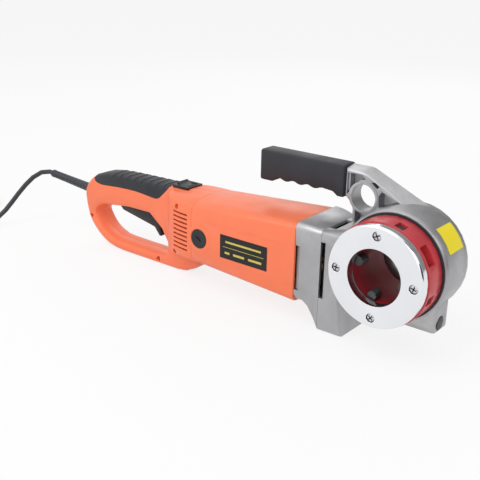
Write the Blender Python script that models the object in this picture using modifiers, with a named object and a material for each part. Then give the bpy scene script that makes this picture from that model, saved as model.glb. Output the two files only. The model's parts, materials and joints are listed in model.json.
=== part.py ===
"""Electric pipe threader: a motor with a D-shaped rear handle drives a ring that holds a die head.

The tool is laid out from one point, the centre of the cover plate's front face. X runs along the
tool toward the gear head, Y is the die axis going away from the operator's side and Z is up. An
empty then moves the whole tool so that it stands on the ground plane, centred on the origin.
"""
import math

import bmesh
import bpy
from mathutils import Matrix, Vector
from mathutils.geometry import convex_hull_2d

MM = 0.001

# Clearances and steps that every piece shares
GAP = 0.3 * MM
OVERRUN = 5 * MM
WELD = 0.001 * MM
ROUND_STEPS = 32
SMALL_ROUND_STEPS = 16
FASTENER_STEPS = 8
RIM_STEPS = 1
FLAT_ANGLE = math.radians(0.2)

# Levels and depths of the whole tool
FLOOR = -96 * MM
MOTOR_DEPTH = 64 * MM
SEAM_X = -80 * MM

# Cover plate
PLATE_RADIUS = 59.5 * MM
PLATE_THICKNESS = 11.6 * MM
PLATE_BORE = 33 * MM
PLATE_RIM = 3.5 * MM
PLATE_RIM_SHARE = 0.3
PLATE_SCREW_SHARE = 0.566
PLATE_SCREW_CIRCLE = PLATE_BORE + PLATE_SCREW_SHARE * (PLATE_RADIUS - PLATE_BORE)
PLATE_SCREW_HEAD = 5 * MM
PLATE_SCREW_SHANK = 2.5 * MM
PLATE_SCREW_LENGTH = 24 * MM
PLATE_SCREW_SINK = 0.4 * MM
SCREW_HEAD_DEPTH = 3 * MM
SLOT_WIDTH = 1.2 * MM
SLOT_DEPTH = 1.4 * MM
SLOT_LENGTH_SHARE = 0.62

# Die head
DRUM_RADIUS = 61 * MM
DRUM_BORE = 34 * MM
DRUM_BACK = 41.5 * MM
HUB_CORNER = 44 * MM
HUB_BACK = 84 * MM
HUB_SIDES = 8
DIE_COUNT = 4
DIE_ANGLE = math.radians(73.5)
DIE_WIDTH = 11 * MM
DIE_FRONT = 14.5 * MM
DIE_DEPTH = 14 * MM
DIE_INNER = 24 * MM
DIE_OUTER = 58 * MM
DIE_TIP = 4 * MM
DIE_TIP_WIDTH_SHARE = 0.5
DIE_TEETH = 4
DIE_TOOTH_DEPTH = 1.6 * MM
WINDOW_ANGLE = math.radians(33)
WINDOW_WIDTH = 23 * MM
WINDOW_FLOOR = 46 * MM
DIE_HEAD_TRAVEL = 36 * MM

# Gear head casting
RING_FRONT = 43.5 * MM
RING_BACK = 92.8 * MM
RING_RADIUS = 66.7 * MM
RING_FRONT_RADIUS = 64.5 * MM
RING_BACK_RADIUS = 65.3 * MM
RING_LIP = 2 * MM
RING_LIP_WIDTH = 2.5 * MM
RECESS_RADIUS = 63.2 * MM
RECESS_FLOOR = 42 * MM
FLANGE_BACK = 50.5 * MM
CHAMBER_RADIUS = 56.6 * MM
BLOCK_FRONT = 17.4 * MM
BLOCK_BACK = 98 * MM
BLOCK_TOP = 31 * MM
BLOCK_RIM = 6 * MM
BLOCK_WALL = 6.5 * MM
BLOCK_RIGHT_LOW = -48 * MM
BLOCK_RIGHT_HIGH = -54 * MM
BLOCK_SHOULDER = -50 * MM
HOLLOW_DEPTH = 8 * MM
HOLLOW_BACK = 86.5 * MM
SIDE_SLOT_WIDTH = 6.3 * MM
SIDE_SLOT_TOP = 17.4 * MM
SIDE_SLOT_BOTTOM = -52.8 * MM
TOP_SLOT_WIDTH = 9 * MM
TOP_SLOT_NEAR = 34 * MM
TOP_SLOT_FAR = 71.5 * MM

# Arm with the support-bar boss, and the bar inside the rubber sleeve
ARM_FRONT = 72.5 * MM
ARM_LEFT = -86 * MM
ARM_WIDTH = 104 * MM
ARM_HEIGHT = 94 * MM
ARM_WEB = 6 * MM
ARM_RIM = 2 * MM
ARM_SHARES = (
    (0.0, 0.995), (0.229, 0.98), (0.285, 0.965), (0.785, 0.683), (0.892, 0.62), (0.96, 0.3), (0.6, 0.1),
    (0.06, 0.295), (0.112, 0.33), (0.113, 0.38), (0.109, 0.49), (0.067, 0.577), (0.0, 0.64),
)
ARM_BACK_SHARES = (
    (0.0, 1.021), (0.229, 1.023), (0.285, 1.014), (0.856, 0.736), (1.038, 0.644), (1.0, 0.3), (0.6, 0.1),
    (0.06, 0.295), (0.112, 0.33), (0.113, 0.38), (0.109, 0.49), (0.067, 0.577), (0.0, 0.64),
)
TALL_POCKET_SHARES = ((0.026, 0.945), (0.212, 0.95), (0.262, 0.9), (0.19, 0.881), (0.104, 0.761), (0.028, 0.661))
SMALL_POCKET_SHARES = ((0.335, 0.875), (0.385, 0.884), (0.44, 0.843), (0.413, 0.807))
BIG_POCKET_SHARES = ((0.475, 0.788), (0.745, 0.673), (0.446, 0.579), (0.441, 0.727))
LOW_POCKET_SHARES = ((0.15, 0.487), (0.23, 0.448), (0.279, 0.435), (0.184, 0.315), (0.15, 0.32))
BOSS_X = -60 * MM
BOSS_Z = 62.6 * MM
BOSS_RADIUS = 19.4 * MM
BOSS_HOLE = 16 * MM
BOSS_PROUD = 1 * MM
BAR_END = -203 * MM
BAR_NEAR = 76 * MM
BAR_FAR = 90 * MM
BAR_LOW = 66 * MM
BAR_HIGH = 88 * MM

# Rubber sleeve with finger grooves
SLEEVE_END = -210.7 * MM
SLEEVE_START = -86.3 * MM
SLEEVE_NEAR = 69.5 * MM
SLEEVE_FAR = 95.9 * MM
SLEEVE_TOP = 97.1 * MM
SLEEVE_LOW = 57.2 * MM
SLEEVE_GRIP = 61.8 * MM
SLEEVE_GROOVES = 4
SLEEVE_PITCH = 21.2 * MM
SLEEVE_WAVE = 1.4 * MM
SLEEVE_FLARE = 18 * MM
SLEEVE_RIM = 3 * MM
SLEEVE_FIRST_GROOVE = 29.3 * MM
SLEEVE_LAST_GRIP = -101.8 * MM
SLEEVE_FRONT_FLARE = -94.9 * MM
SLEEVE_CORNER = 3 * MM
SLEEVE_WAVE_STEPS = 6

# Lug and lock button at the lower right
LUG_LEFT = 17 * MM
LUG_RIGHT = 58 * MM
LUG_NEAR = 45 * MM
LUG_FAR = 74.8 * MM
LUG_LOW = -67.5 * MM
LUG_HIGH = -31 * MM
LUG_RIM = 3 * MM
LUG_CORNER = 4.5 * MM
BUTTON_RADIUS = 8.8 * MM
BUTTON_Y = 55.4 * MM
BUTTON_Z = -56.3 * MM
BUTTON_DEPTH = 8 * MM
BUTTON_DOME = 1 * MM
BUTTON_STEM = 4 * MM
BUTTON_STEM_END = 20 * MM
BUTTON_TRAVEL = 5 * MM

# Ring gear, bushes and rear cover
GEAR_MODULE = 2 * MM
RING_TEETH = 54
SPUR_TEETH = 20
GEAR_FRONT = 72 * MM
GEAR_BACK = 86 * MM
JOURNAL_RADIUS = 49 * MM
SHOULDER_RADIUS = 51 * MM
BUSH_WALL = 2.5 * MM
REAR_BUSH_FRONT = 87.5 * MM
COVER_RADIUS = 64.5 * MM
COVER_BACK = 100 * MM
COVER_LIP = 3 * MM
COVER_BORE = 33 * MM
COVER_SCREW_CIRCLE = 60 * MM
COVER_SCREW_ANGLE = math.radians(45)
COVER_SCREW_HEAD = 3.7 * MM
COVER_SCREW_SHANK = 2 * MM
COVER_SCREW_LENGTH = 15 * MM
COVER_SCREW_COUNT = 4

# Teeth, as shares of the module and of the angular pitch
ADDENDUM_SHARE = 1.0
DEDENDUM_SHARE = 1.25
TOOTH_TIP_SHARE = 0.11
TOOTH_ROOT_SHARE = 0.27

# Layshaft and the bevel pair
LAYSHAFT_Z = -24.4 * MM
LAYSHAFT_RADIUS = 6 * MM
LAYSHAFT_FRONT = 38.3 * MM
LAYSHAFT_BACK = 95.7 * MM
LAYSHAFT_BEARING = 8 * MM
NEAR_BEARING_FRONT = 38 * MM
FAR_BEARING_FRONT = 87.5 * MM
BEARING_LENGTH = 8.3 * MM
BEARING_BOSS = 11.5 * MM
BEARING_BOSS_FRONT = 36 * MM
GEAR_ROOM = 24.5 * MM
SPUR_FRONT = 73 * MM
SPUR_BACK = 86 * MM
BEVEL_MODULE = 1.5 * MM
BEVEL_TEETH = 27
PINION_TEETH = 8
BEVEL_ADDENDUM_SHARE = 0.8
BEVEL_DEDENDUM_SHARE = 1.2
BEVEL_TIP_SHARE = 0.09
BEVEL_ROOT_SHARE = 0.22
TOE_SHARE = 0.7
BEVEL_BACK = 51 * MM

# Motor
SHAFT_RADIUS = 5 * MM
SHAFT_REAR = -292 * MM
FRONT_BEARING_RADIUS = 13 * MM
FRONT_BEARING_REAR = -111.5 * MM
FRONT_BEARING_LENGTH = 8 * MM
REAR_BEARING_RADIUS = 11 * MM
REAR_BEARING_LENGTH = 7 * MM
BRACKET_THICKNESS = 10 * MM
BRACKET_HOLE = 8 * MM
BRACKET_VENT = 7 * MM
BRACKET_VENT_CIRCLE = 25 * MM
BRACKET_VENTS = 4
FRONT_BEARING_BOSS = 16.5 * MM
SHAFT_HOLE = 9 * MM
LINER_WALL = 2.5 * MM
PINION_SHOULDER = 1.5 * MM
PINION_NECK = 3.9 * MM
FAN_RADIUS = 34 * MM
FAN_HUB = 11 * MM
FAN_REAR = -134 * MM
FAN_DISC = 3 * MM
FAN_BLADE_LENGTH = 10 * MM
FAN_BLADE_WIDTH = 2 * MM
FAN_BLADES = 8
STATOR_RADIUS = 35.5 * MM
STATOR_BORE = 24.3 * MM
STATOR_REAR = -240 * MM
STATOR_FRONT = -165 * MM
CORE_RADIUS = 23.3 * MM
CORE_REAR = -236 * MM
CORE_FRONT = -170 * MM
CORE_SLOTS = 12
CORE_SLOT_WIDTH = 3 * MM
CORE_SLOT_DEPTH = 4 * MM
WINDING_RADIUS = 18 * MM
WINDING_LENGTH = 8 * MM
COMMUTATOR_RADIUS = 14 * MM
COMMUTATOR_LENGTH = 18 * MM

# Motor housing
HOUSING_REAR = -282 * MM
HOUSING_FRONT = -116 * MM
HOUSING_WALL = 3.5 * MM
HOUSING_REAR_HALF = 46.4 * MM
HOUSING_FRONT_HALF = 47.8 * MM
HOUSING_REAR_TOP = 26.7 * MM
HOUSING_FRONT_TOP = 33.4 * MM
HOUSING_REAR_LOW = -69 * MM
HOUSING_FRONT_LOW = -72.3 * MM
HOUSING_REAR_CORNER_Y = 24 * MM
HOUSING_REAR_CORNER_Z = 16 * MM
HOUSING_FRONT_CORNER = 8 * MM
HOUSING_CROWN = 3 * MM
HOUSING_RIB = 4 * MM
HOUSING_STEPS = 3
BRUSH_X = -268.5 * MM
CAP_RADIUS = 13 * MM
CAP_FACE = 16.2 * MM
CAP_HEAD = 3.5 * MM
CAP_STEM = 8.5 * MM
CAP_STEM_END = 36 * MM
CAP_BOSS = 19.7 * MM
CAP_BOSS_FACE = 17 * MM
CAP_INNER_BOSS = 11 * MM
CAP_INNER_BOSS_END = 31 * MM
CAP_SLOT_LENGTH = 9 * MM
CAP_SLOT_WIDTH = 2.4 * MM
CAP_SLOT_DEPTH = 1.6 * MM
BRUSH_LENGTH = 10 * MM
BRUSH_WIDTH = 6 * MM
BRUSH_OUTER = 28 * MM

# Neck between the motor and the gear head
NECK_WALL = 4 * MM
NECK_REAR_NEAR = 17 * MM
NECK_REAR_FAR = 111 * MM
NECK_REAR_TOP = 33 * MM
NECK_LENGTH_SHARES = (0.0, 0.31, 0.56, 0.8, 1.0)
NECK_FALL_SHARES = (0.02, 0.0, 0.184, 0.564, 1.0)
NECK_WAIST = -65.5 * MM
NECK_FAR_SHARES = (0.0, 0.15, 0.46, 0.81, 1.0)
NECK_CORNER = 8 * MM
NECK_VENT_WIDTH = 7 * MM
NECK_VENT_TOP = 5 * MM
NECK_VENT_BOTTOM = -52 * MM
BAFFLE_WALL = 2 * MM

# Rear handle, a hollow D split along the tool's middle plane
HANDLE_REAR = -526 * MM
HANDLE_TOP = 26.5 * MM
HANDLE_HALF = 19 * MM
HANDLE_RIM = 8 * MM
HANDLE_WALL = 6 * MM
HANDLE_SHARES = (
    (0.886, 1.0), (0.677, 0.984), (0.406, 0.971), (0.23, 0.951), (0.107, 0.894), (0.027, 0.763), (0.0, 0.604),
    (0.027, 0.343), (0.078, 0.2), (0.142, 0.1), (0.197, 0.045), (0.252, 0.017), (0.32, 0.003), (0.4, 0.0), (0.784, 0.0),
    (0.853, 0.029), (0.911, 0.082), (0.952, 0.151),
)
HANDLE_JOINT_SHARES = ((0.975, 0.275), (0.975, 0.985))
HANDLE_HOLE_SHARES = (
    (0.562, 0.587), (0.209, 0.542), (0.152, 0.519), (0.113, 0.47), (0.096, 0.412), (0.109, 0.351),
    (0.14, 0.269), (0.182, 0.205), (0.232, 0.164), (0.3, 0.143), (0.632, 0.139), (0.681, 0.167), (0.708, 0.229),
    (0.706, 0.29),
)
OUTLINE_STEPS = 2
BELL_LENGTH = 63 * MM
BELL_SHARES = (0.0, 0.2, 0.4, 0.6, 0.8, 0.93, 1.0)
BELL_END_TOP = 22 * MM
BELL_END_LOW = -64.7 * MM
BELL_END_CORNER = 9 * MM
BELL_WALL = 3.5 * MM
LOUVRE_COUNT = 9
LOUVRE_REAR = -319 * MM
LOUVRE_FRONT = -290 * MM
LOUVRE_TOP = 4 * MM
LOUVRE_PITCH = 6.15 * MM
LOUVRE_HEIGHT = 2.6 * MM
COLUMN_RADIUS = 5 * MM
SHELL_SCREW_PLACES_SHARES = ((0.06, 0.355), (0.636, 0.07), (0.88, 0.865), (0.854, 0.327))
SHELL_SCREW_HEAD = 3.6 * MM
SHELL_SCREW_SHANK = 2 * MM
SHELL_SCREW_LENGTH = 20 * MM
SHELL_SCREW_SEAT = 53 * MM

# Grip pad
PAD_THICKNESS = 2.8 * MM
PAD_SHARES = (
    (0.088, 0.86), (0.116, 0.812), (0.17, 0.792), (0.304, 0.813), (0.45, 0.824), (0.56, 0.81), (0.628, 0.802),
    (0.672, 0.856), (0.742, 1.03), (0.742, 1.3), (0.05, 1.3), (0.05, 0.95),
)
PAD_RIDGES = 8
PAD_RIDGE_WIDTH = 4 * MM
PAD_RIDGE_HEIGHT = 0.55 * MM
PAD_RIDGE_DROP = 8 * MM
PAD_RIDGE_EDGE = 3 * MM
PAD_RIDGE_FIRST_SHARE = 0.26
PAD_RIDGE_LAST_SHARE = 0.68

# Rocker switch on top of the handle
ROCKER_X = -330.5 * MM
BEZEL_LENGTH = 29 * MM
BEZEL_WIDTH = 29 * MM
BEZEL_LOW = 24.5 * MM
BEZEL_HIGH = 28.5 * MM
BEZEL_BODY_LENGTH = 26 * MM
BEZEL_BODY_WIDTH = 26 * MM
BEZEL_BODY_LOW = 12 * MM
ROCKER_ROOM_LENGTH = 22.8 * MM
ROCKER_LENGTH = 20 * MM
ROCKER_WIDTH = 20 * MM
ROCKER_AXIS_Z = 24.5 * MM
ROCKER_HORN = 6 * MM
ROCKER_DISH = 3 * MM
ROCKER_ROOT = 8 * MM
ROCKER_PIN = 1.7 * MM
ROCKER_PIN_REACH = 1.4 * MM
ROCKER_TILT = math.radians(8)

# Trigger
TRIGGER_WIDTH = 20 * MM
TRIGGER_PIVOT_X = -460 * MM
TRIGGER_PIVOT_Z = -17 * MM
TRIGGER_LENGTH = 95 * MM
TRIGGER_HEIGHT = 45 * MM
TRIGGER_SHARES = (
    (-0.075, 0.1), (0.8, 0.04), (0.835, -0.21), (0.926, -0.82), (0.882, -0.911), (0.77, -0.63), (0.095, -0.365),
    (0.04, -0.26), (-0.075, -0.1),
)
TRIGGER_PIN = 2.4 * MM
TRIGGER_PIN_SEAT = 3.5 * MM
TRIGGER_PULL = math.radians(5.5)
TRIGGER_SLOT_GAP = 0.9 * MM
TRIGGER_CORNER = 2.5 * MM
TRIGGER_RIM = 3 * MM
SWITCH_REAR = -440 * MM
SWITCH_LENGTH = 46 * MM
SWITCH_LOW = -2 * MM
SWITCH_HIGH = 16 * MM
PLUNGER_X = -405 * MM
PLUNGER_RADIUS = 3 * MM
PLUNGER_LOW = -8 * MM

# Mains lead
LEAD_Z = -18 * MM
BOOT_SETBACK = 9.5 * MM
BOOT_LENGTH = 104.5 * MM
BOOT_RADIUS = 7 * MM
BOOT_END_RADIUS = 5.6 * MM
BOOT_COLLAR = 9 * MM
BOOT_COLLAR_LENGTH = 3 * MM
BOOT_TILT = math.radians(4.6)
CORD_RADIUS = 3.75 * MM
CORD_SPACING = 18 * MM
CORD_ROUTE = (
    (-644, 61, -11.8), (-657, 53.5, -20), (-668, 42, -35), (-676, 28, -53), (-682, 12, -72), (-690, -6, -87),
    (-705, -22, -91.5), (-729, -33.5, -91.8), (-755, -37, -91.2), (-779, -37.2, -90.8),
)
TIE_THICKNESS = 1.2 * MM
TIE_WIDTH = 8 * MM
TIE_ANGLE = math.radians(60)
TIE_ROOM = 0.8 * MM
COIL_CENTRE = (-823, 15)
COIL_START_ANGLE = math.radians(-80)
COIL_TURNS = 7
COIL_STEPS = 24
COIL_RADIUS = 59 * MM
COIL_PITCH = 8.1 * MM
COIL_CLIMB_TURNS = 0.5
TAIL_ROUTE = (
    (-838.7, -47.2, -83.8), (-858.1, -45.8, -87.5), (-883, -30.1, -91.8), (-899.6, -8.8, -90), (-906.3, 11.6, -84.3),
    (-905.1, 25.7, -81.2),
)
PLUG_PLACE = (-903.5, 36.2)
PLUG_ANGLE = math.radians(84)
PLUG_RADIUS = 15 * MM
PLUG_NECK = 6 * MM
PLUG_LENGTH = 38 * MM
PLUG_SHOULDER_SHARE = 0.45
PLUG_PIN = 2.4 * MM
PLUG_PIN_LENGTH = 19 * MM
PLUG_PIN_SPACING = 9.5 * MM

# Colours
ORANGE = (0.9, 0.2, 0.08, 1)
CAST_GREY = (0.62, 0.63, 0.64, 1)
BLACK = (0.03, 0.03, 0.035, 1)
RUBBER_BLACK = (0.05, 0.05, 0.055, 1)
DRUM_RED = (0.55, 0.06, 0.05, 1)
BRIGHT_STEEL = (0.8, 0.8, 0.8, 1)
DARK_STEEL = (0.14, 0.14, 0.15, 1)
GEAR_STEEL = (0.45, 0.45, 0.46, 1)
BRONZE = (0.6, 0.42, 0.2, 1)
COPPER = (0.7, 0.35, 0.2, 1)

# Turns that carry a mesh's own Z onto each axis, and a flat outline's normal onto each axis
TURN = {
    "X": Matrix.Rotation(math.radians(90), 4, "Y"),
    "Y": Matrix.Rotation(math.radians(-90), 4, "X"),
    "Z": Matrix.Identity(4),
}
FACE = {
    "X": Matrix(((0, 0, 1, 0), (1, 0, 0, 0), (0, 1, 0, 0), (0, 0, 0, 1))),
    "Y": Matrix.Rotation(math.radians(90), 4, "X"),
    "Z": Matrix.Identity(4),
}


# Scene


def clear_scene():
    """Remove what the file holds."""
    for obj in list(bpy.data.objects):
        bpy.data.objects.remove(obj, do_unlink=True)


def new_collection(name):
    """Make a collection under the scene's own."""
    collection = bpy.data.collections.new(name)
    bpy.context.scene.collection.children.link(collection)
    return collection


clear_scene()
PARTS = new_collection("pipe_threader")
TOOLS = new_collection("cutters")


def new_material(name, colour, roughness, metallic):
    """A Principled material with one colour."""
    material = bpy.data.materials.new(name)
    material.use_nodes = True
    shader = material.node_tree.nodes["Principled BSDF"]
    shader.inputs["Base Color"].default_value = colour
    shader.inputs["Roughness"].default_value = roughness
    shader.inputs["Metallic"].default_value = metallic
    material.diffuse_color = colour
    return material


# Solids: each helper returns an object whose mesh is in the tool's own frame


def as_object(mesh, name="solid"):
    """Link a mesh as a working object, kept out of renders until it becomes a part."""
    obj = bpy.data.objects.new(name, mesh)
    TOOLS.objects.link(obj)
    obj.hide_render = True
    obj.display_type = "WIRE"
    return obj


def tidy_mesh(mesh, outward=True):
    """Weld loose caps and, if asked, turn the faces outward."""
    shape = bmesh.new()
    shape.from_mesh(mesh)
    bmesh.ops.remove_doubles(shape, verts=shape.verts, dist=WELD)
    if outward:
        bmesh.ops.recalc_face_normals(shape, faces=shape.faces)
    shape.to_mesh(mesh)
    shape.free()


def bake(obj, outward=True):
    """Replace an object's mesh with the one that its modifiers or its curve give."""
    bpy.context.view_layer.update()
    evaluated = obj.evaluated_get(bpy.context.evaluated_depsgraph_get())
    mesh = bpy.data.meshes.new_from_object(evaluated)
    tidy_mesh(mesh, outward)
    if obj.type == "MESH":
        obj.modifiers.clear()
        obj.data = mesh
        return obj
    solid = as_object(mesh)
    solid.matrix_world = obj.matrix_world
    bpy.data.objects.remove(obj, do_unlink=True)
    return solid


def moved(obj, matrix):
    """Move a solid's mesh by a matrix."""
    obj.data.transform(matrix)
    return obj


def copied(obj):
    """A second solid with the same mesh."""
    return as_object(obj.data.copy())


def combine(target, tool, operation):
    """Join, cut or intersect two solids, and drop the second."""
    modifier = target.modifiers.new(operation.lower(), "BOOLEAN")
    modifier.operation = operation
    modifier.object = tool
    bake(target, outward=False)
    bpy.data.objects.remove(tool, do_unlink=True)
    return target


def join(target, *tools):
    """Union of solids."""
    for tool in tools:
        combine(target, tool, "UNION")
    return target


def cut(target, *tools):
    """Difference of solids."""
    for tool in tools:
        combine(target, tool, "DIFFERENCE")
    return target


def keep(target, tool):
    """Intersection of two solids."""
    return combine(target, tool, "INTERSECT")


def box(low, high):
    """A box between two corners."""
    mesh = bpy.data.meshes.new("box")
    shape = bmesh.new()
    bmesh.ops.create_cube(shape, size=1)
    low = Vector(low)
    high = Vector(high)
    size = high - low
    shape.transform(Matrix.Translation((low + high) / 2) @ Matrix.Diagonal((*size, 1)))
    shape.to_mesh(mesh)
    shape.free()
    return as_object(mesh)


def rod(axis, centre, start, end, radius, steps=SMALL_ROUND_STEPS, end_radius=None):
    """A cylinder or cone along an axis; centre gives its place on the other two axes."""
    mesh = bpy.data.meshes.new("rod")
    shape = bmesh.new()
    tip = radius if end_radius is None else end_radius
    bmesh.ops.create_cone(shape, cap_ends=True, segments=steps, radius1=radius, radius2=tip, depth=end - start)
    shape.transform(on_axis(axis, centre, (start + end) / 2) @ TURN[axis])
    shape.to_mesh(mesh)
    shape.free()
    return as_object(mesh)


def on_axis(axis, centre, along):
    """The move that puts a solid at a centre beside an axis and a distance along it."""
    place = {"X": (along, *centre), "Y": (centre[0], along, centre[1]), "Z": (*centre, along)}[axis]
    return Matrix.Translation(place)


def turned(axis, centre, profile, closed=False, steps=ROUND_STEPS):
    """Turn a profile of (radius, distance along the axis) points round an axis."""
    mesh = bpy.data.meshes.new("turned")
    edges = [(i, i + 1) for i in range(len(profile) - 1)]
    if closed:
        edges.append((len(profile) - 1, 0))
    mesh.from_pydata([(radius, 0, along) for radius, along in profile], edges, [])
    obj = as_object(mesh)
    screw = obj.modifiers.new("turn", "SCREW")
    screw.steps = steps
    screw.render_steps = steps
    screw.use_merge_vertices = True
    screw.merge_threshold = WELD
    bake(obj)
    return moved(obj, on_axis(axis, centre, 0) @ TURN[axis])


def ring_of(axis, centre, inner, outer, start, end, steps=ROUND_STEPS):
    """A plain ring."""
    profile = ((outer, end), (outer, start), (inner, start), (inner, end))
    return turned(axis, centre, profile, closed=True, steps=steps)


def slab(axis, outline, start, end, rim=0, holes=(), rim_steps=RIM_STEPS):
    """A flat outline with a thickness along an axis and, if asked, rounded rims."""
    curve = bpy.data.curves.new("slab", "CURVE")
    curve.dimensions = "2D"
    curve.fill_mode = "BOTH"
    curve.extrude = (end - start) / 2 - rim
    curve.bevel_depth = rim
    curve.bevel_resolution = rim_steps if rim else 0
    curve.offset = -rim
    for ring in (outline, *holes):
        spline = curve.splines.new("POLY")
        spline.points.add(len(ring) - 1)
        for point, place in zip(spline.points, ring):
            point.co = (*place, 0, 1)
        spline.use_cyclic_u = True
    obj = bpy.data.objects.new("slab", curve)
    TOOLS.objects.link(obj)
    solid = bake(obj)
    return moved(solid, on_axis(axis, (0, 0), (start + end) / 2) @ FACE[axis])


def loft(rings, closed=False):
    """Skin a list of rings with the same number of points; closed joins the last to the first."""
    count = len(rings[0])
    points = [point for ring in rings for point in ring]
    rows = len(rings) if closed else len(rings) - 1
    faces = []
    for row in range(rows):
        here = row * count
        there = ((row + 1) % len(rings)) * count
        for i in range(count):
            after = (i + 1) % count
            faces.append((here + i, here + after, there + after, there + i))
    if not closed:
        faces.append(tuple(range(count)))
        faces.append(tuple(range((len(rings) - 1) * count, len(rings) * count)))
    mesh = bpy.data.meshes.new("loft")
    mesh.from_pydata([tuple(point) for point in points], [], faces)
    tidy_mesh(mesh)
    return as_object(mesh)


def spun(obj, axis, angle, centre=(0, 0)):
    """Turn a solid's mesh about an axis through a centre."""
    place = on_axis(axis, centre, 0)
    return moved(obj, place @ Matrix.Rotation(angle, 4, axis) @ place.inverted())


def mirrored(obj, depth=MOTOR_DEPTH):
    """Mirror a solid's mesh across the motor's middle plane."""
    place = Matrix.Translation((0, depth, 0))
    moved(obj, place @ Matrix.Diagonal((1, -1, 1, 1)) @ place.inverted())
    obj.data.flip_normals()
    return obj


# Outlines


def mix(first, second, share):
    """Blend two values."""
    return first + (second - first) * share


def laid_out(shares, corner, size):
    """Place points given as shares of a rectangle."""
    return [(corner[0] + x * size[0], corner[1] + z * size[1]) for x, z in shares]


def eased(points, steps=OUTLINE_STEPS, closed=False):
    """Round a chain of points with a Catmull-Rom curve."""
    count = len(points)
    spans = count if closed else count - 1
    result = []
    for i in range(spans):
        if closed:
            a, b, c, d = (points[(i + k) % count] for k in (-1, 0, 1, 2))
        else:
            a, b, c, d = (points[min(max(i + k, 0), count - 1)] for k in (-1, 0, 1, 2))
        for step in range(steps):
            result.append(eased_point(a, b, c, d, step / steps))
    if not closed:
        result.append(tuple(points[-1]))
    return result


def eased_point(a, b, c, d, share):
    """One point of a Catmull-Rom span between b and c."""
    weights = (
        ((-share + 2) * share - 1) * share / 2,
        ((3 * share - 5) * share * share + 2) / 2,
        ((-3 * share + 4) * share + 1) * share / 2,
        ((share - 1) * share * share) / 2,
    )
    return tuple(sum(w * p[k] for w, p in zip(weights, (a, b, c, d))) for k in range(len(b)))


def without_straight_points(outline):
    """Drop the points of an outline that lie on a straight run."""
    result = []
    for i, here in enumerate(outline):
        before = Vector(here) - Vector(outline[i - 1])
        after = Vector(outline[(i + 1) % len(outline)]) - Vector(here)
        if abs(before.angle_signed(after)) > FLAT_ANGLE:
            result.append(here)
    return result


def turned_area(outline):
    """Twice the signed area of an outline."""
    pairs = zip(outline, outline[1:] + outline[:1])
    return sum(a[0] * b[1] - b[0] * a[1] for a, b in pairs)


def grown(outline, distance):
    """Move an outline's edges outward by a distance, or inward if it is negative."""
    sign = 1 if turned_area(outline) > 0 else -1
    count = len(outline)
    result = []
    for i in range(count):
        before = Vector(outline[i]) - Vector(outline[i - 1])
        after = Vector(outline[(i + 1) % count]) - Vector(outline[i])
        first = Vector((before.y, -before.x)).normalized() * sign
        second = Vector((after.y, -after.x)).normalized() * sign
        middle = (first + second).normalized()
        reach = distance / max(middle.dot(first), 0.5)
        result.append(tuple(Vector(outline[i]) + middle * reach))
    return result


def rounded_ring(x, near, far, low, high, corner_y, corner_z, crown=0, steps=HOUSING_STEPS):
    """A rectangle in a plane across X with elliptical corners and crowned top and bottom."""
    middle_y = (near + far) / 2
    middle_z = (low + high) / 2
    half_y = (far - near) / 2 - corner_y
    half_z = (high - low) / 2 - corner_z - crown
    points = []
    for quarter in range(4):
        side_y = (1, -1, -1, 1)[quarter]
        side_z = (1, 1, -1, -1)[quarter]
        for step in range(steps + 1):
            angle = math.radians(90) * (quarter + step / steps)
            y = side_y * half_y + corner_y * math.cos(angle)
            z = side_z * half_z + corner_z * math.sin(angle)
            points.append((y, z))
        if quarter in (0, 2):
            points.extend(flat_points(side_y * half_y, side_z * (half_z + corner_z), steps))
    return [Vector((x, middle_y + y, middle_z + crowned(y, z, half_y, half_z, crown))) for y, z in points]


def flat_points(start, level, steps):
    """The points between two corners along the top or the bottom."""
    return [(start * (1 - 2 * step / steps), level) for step in range(1, steps)]


def crowned(y, z, half_y, half_z, crown):
    """Lift a point of the top or bottom toward the middle."""
    if abs(z) <= half_z or abs(y) >= half_y:
        return z
    return z + math.copysign(crown * (1 - (y / half_y) ** 2), z)


# Parts


def new_empty(name, place, parent=None):
    """An empty that carries parts."""
    empty = bpy.data.objects.new(name, None)
    PARTS.objects.link(empty)
    empty.location = place
    empty.parent = parent
    return empty


DATUM = new_empty("tool_datum", (
    -(HANDLE_REAR + RING_RADIUS) / 2,
    -MOTOR_DEPTH + CAP_FACE / 2,
    -FLOOR,
))
DIE_AXIS = new_empty("die_axis", (0, 0, 0), DATUM)
LAYSHAFT_X = -math.sqrt(((RING_TEETH + SPUR_TEETH) * GEAR_MODULE / 2) ** 2 - LAYSHAFT_Z ** 2)
LAYSHAFT = (LAYSHAFT_X, LAYSHAFT_Z)
MOTOR = (MOTOR_DEPTH, LAYSHAFT_Z)
LAYSHAFT_AXIS = new_empty("layshaft_axis", (LAYSHAFT_X, 0, LAYSHAFT_Z), DATUM)
MOTOR_AXIS = new_empty("motor_axis", (0, *MOTOR), DATUM)
TRIGGER_AXIS = new_empty("trigger_axis", (TRIGGER_PIVOT_X, MOTOR_DEPTH, TRIGGER_PIVOT_Z), DATUM)
ROCKER_AXIS = new_empty("rocker_axis", (ROCKER_X, MOTOR_DEPTH, ROCKER_AXIS_Z), DATUM)
BUTTON_AXIS = new_empty("lock_button_axis", (LUG_RIGHT, BUTTON_Y, BUTTON_Z), DATUM)

PAINTED = (ORANGE, 0.4, 0.0)
CAST = (CAST_GREY, 0.5, 0.7)
PLASTIC = (BLACK, 0.5, 0.0)
RUBBER = (RUBBER_BLACK, 0.8, 0.0)
RED_PAINT = (DRUM_RED, 0.4, 0.2)
BRIGHT = (BRIGHT_STEEL, 0.15, 1.0)
DARK = (DARK_STEEL, 0.4, 0.9)
STEEL = (GEAR_STEEL, 0.35, 1.0)
BEARING = (BRONZE, 0.4, 1.0)
WINDING = (COPPER, 0.4, 0.9)


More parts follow.
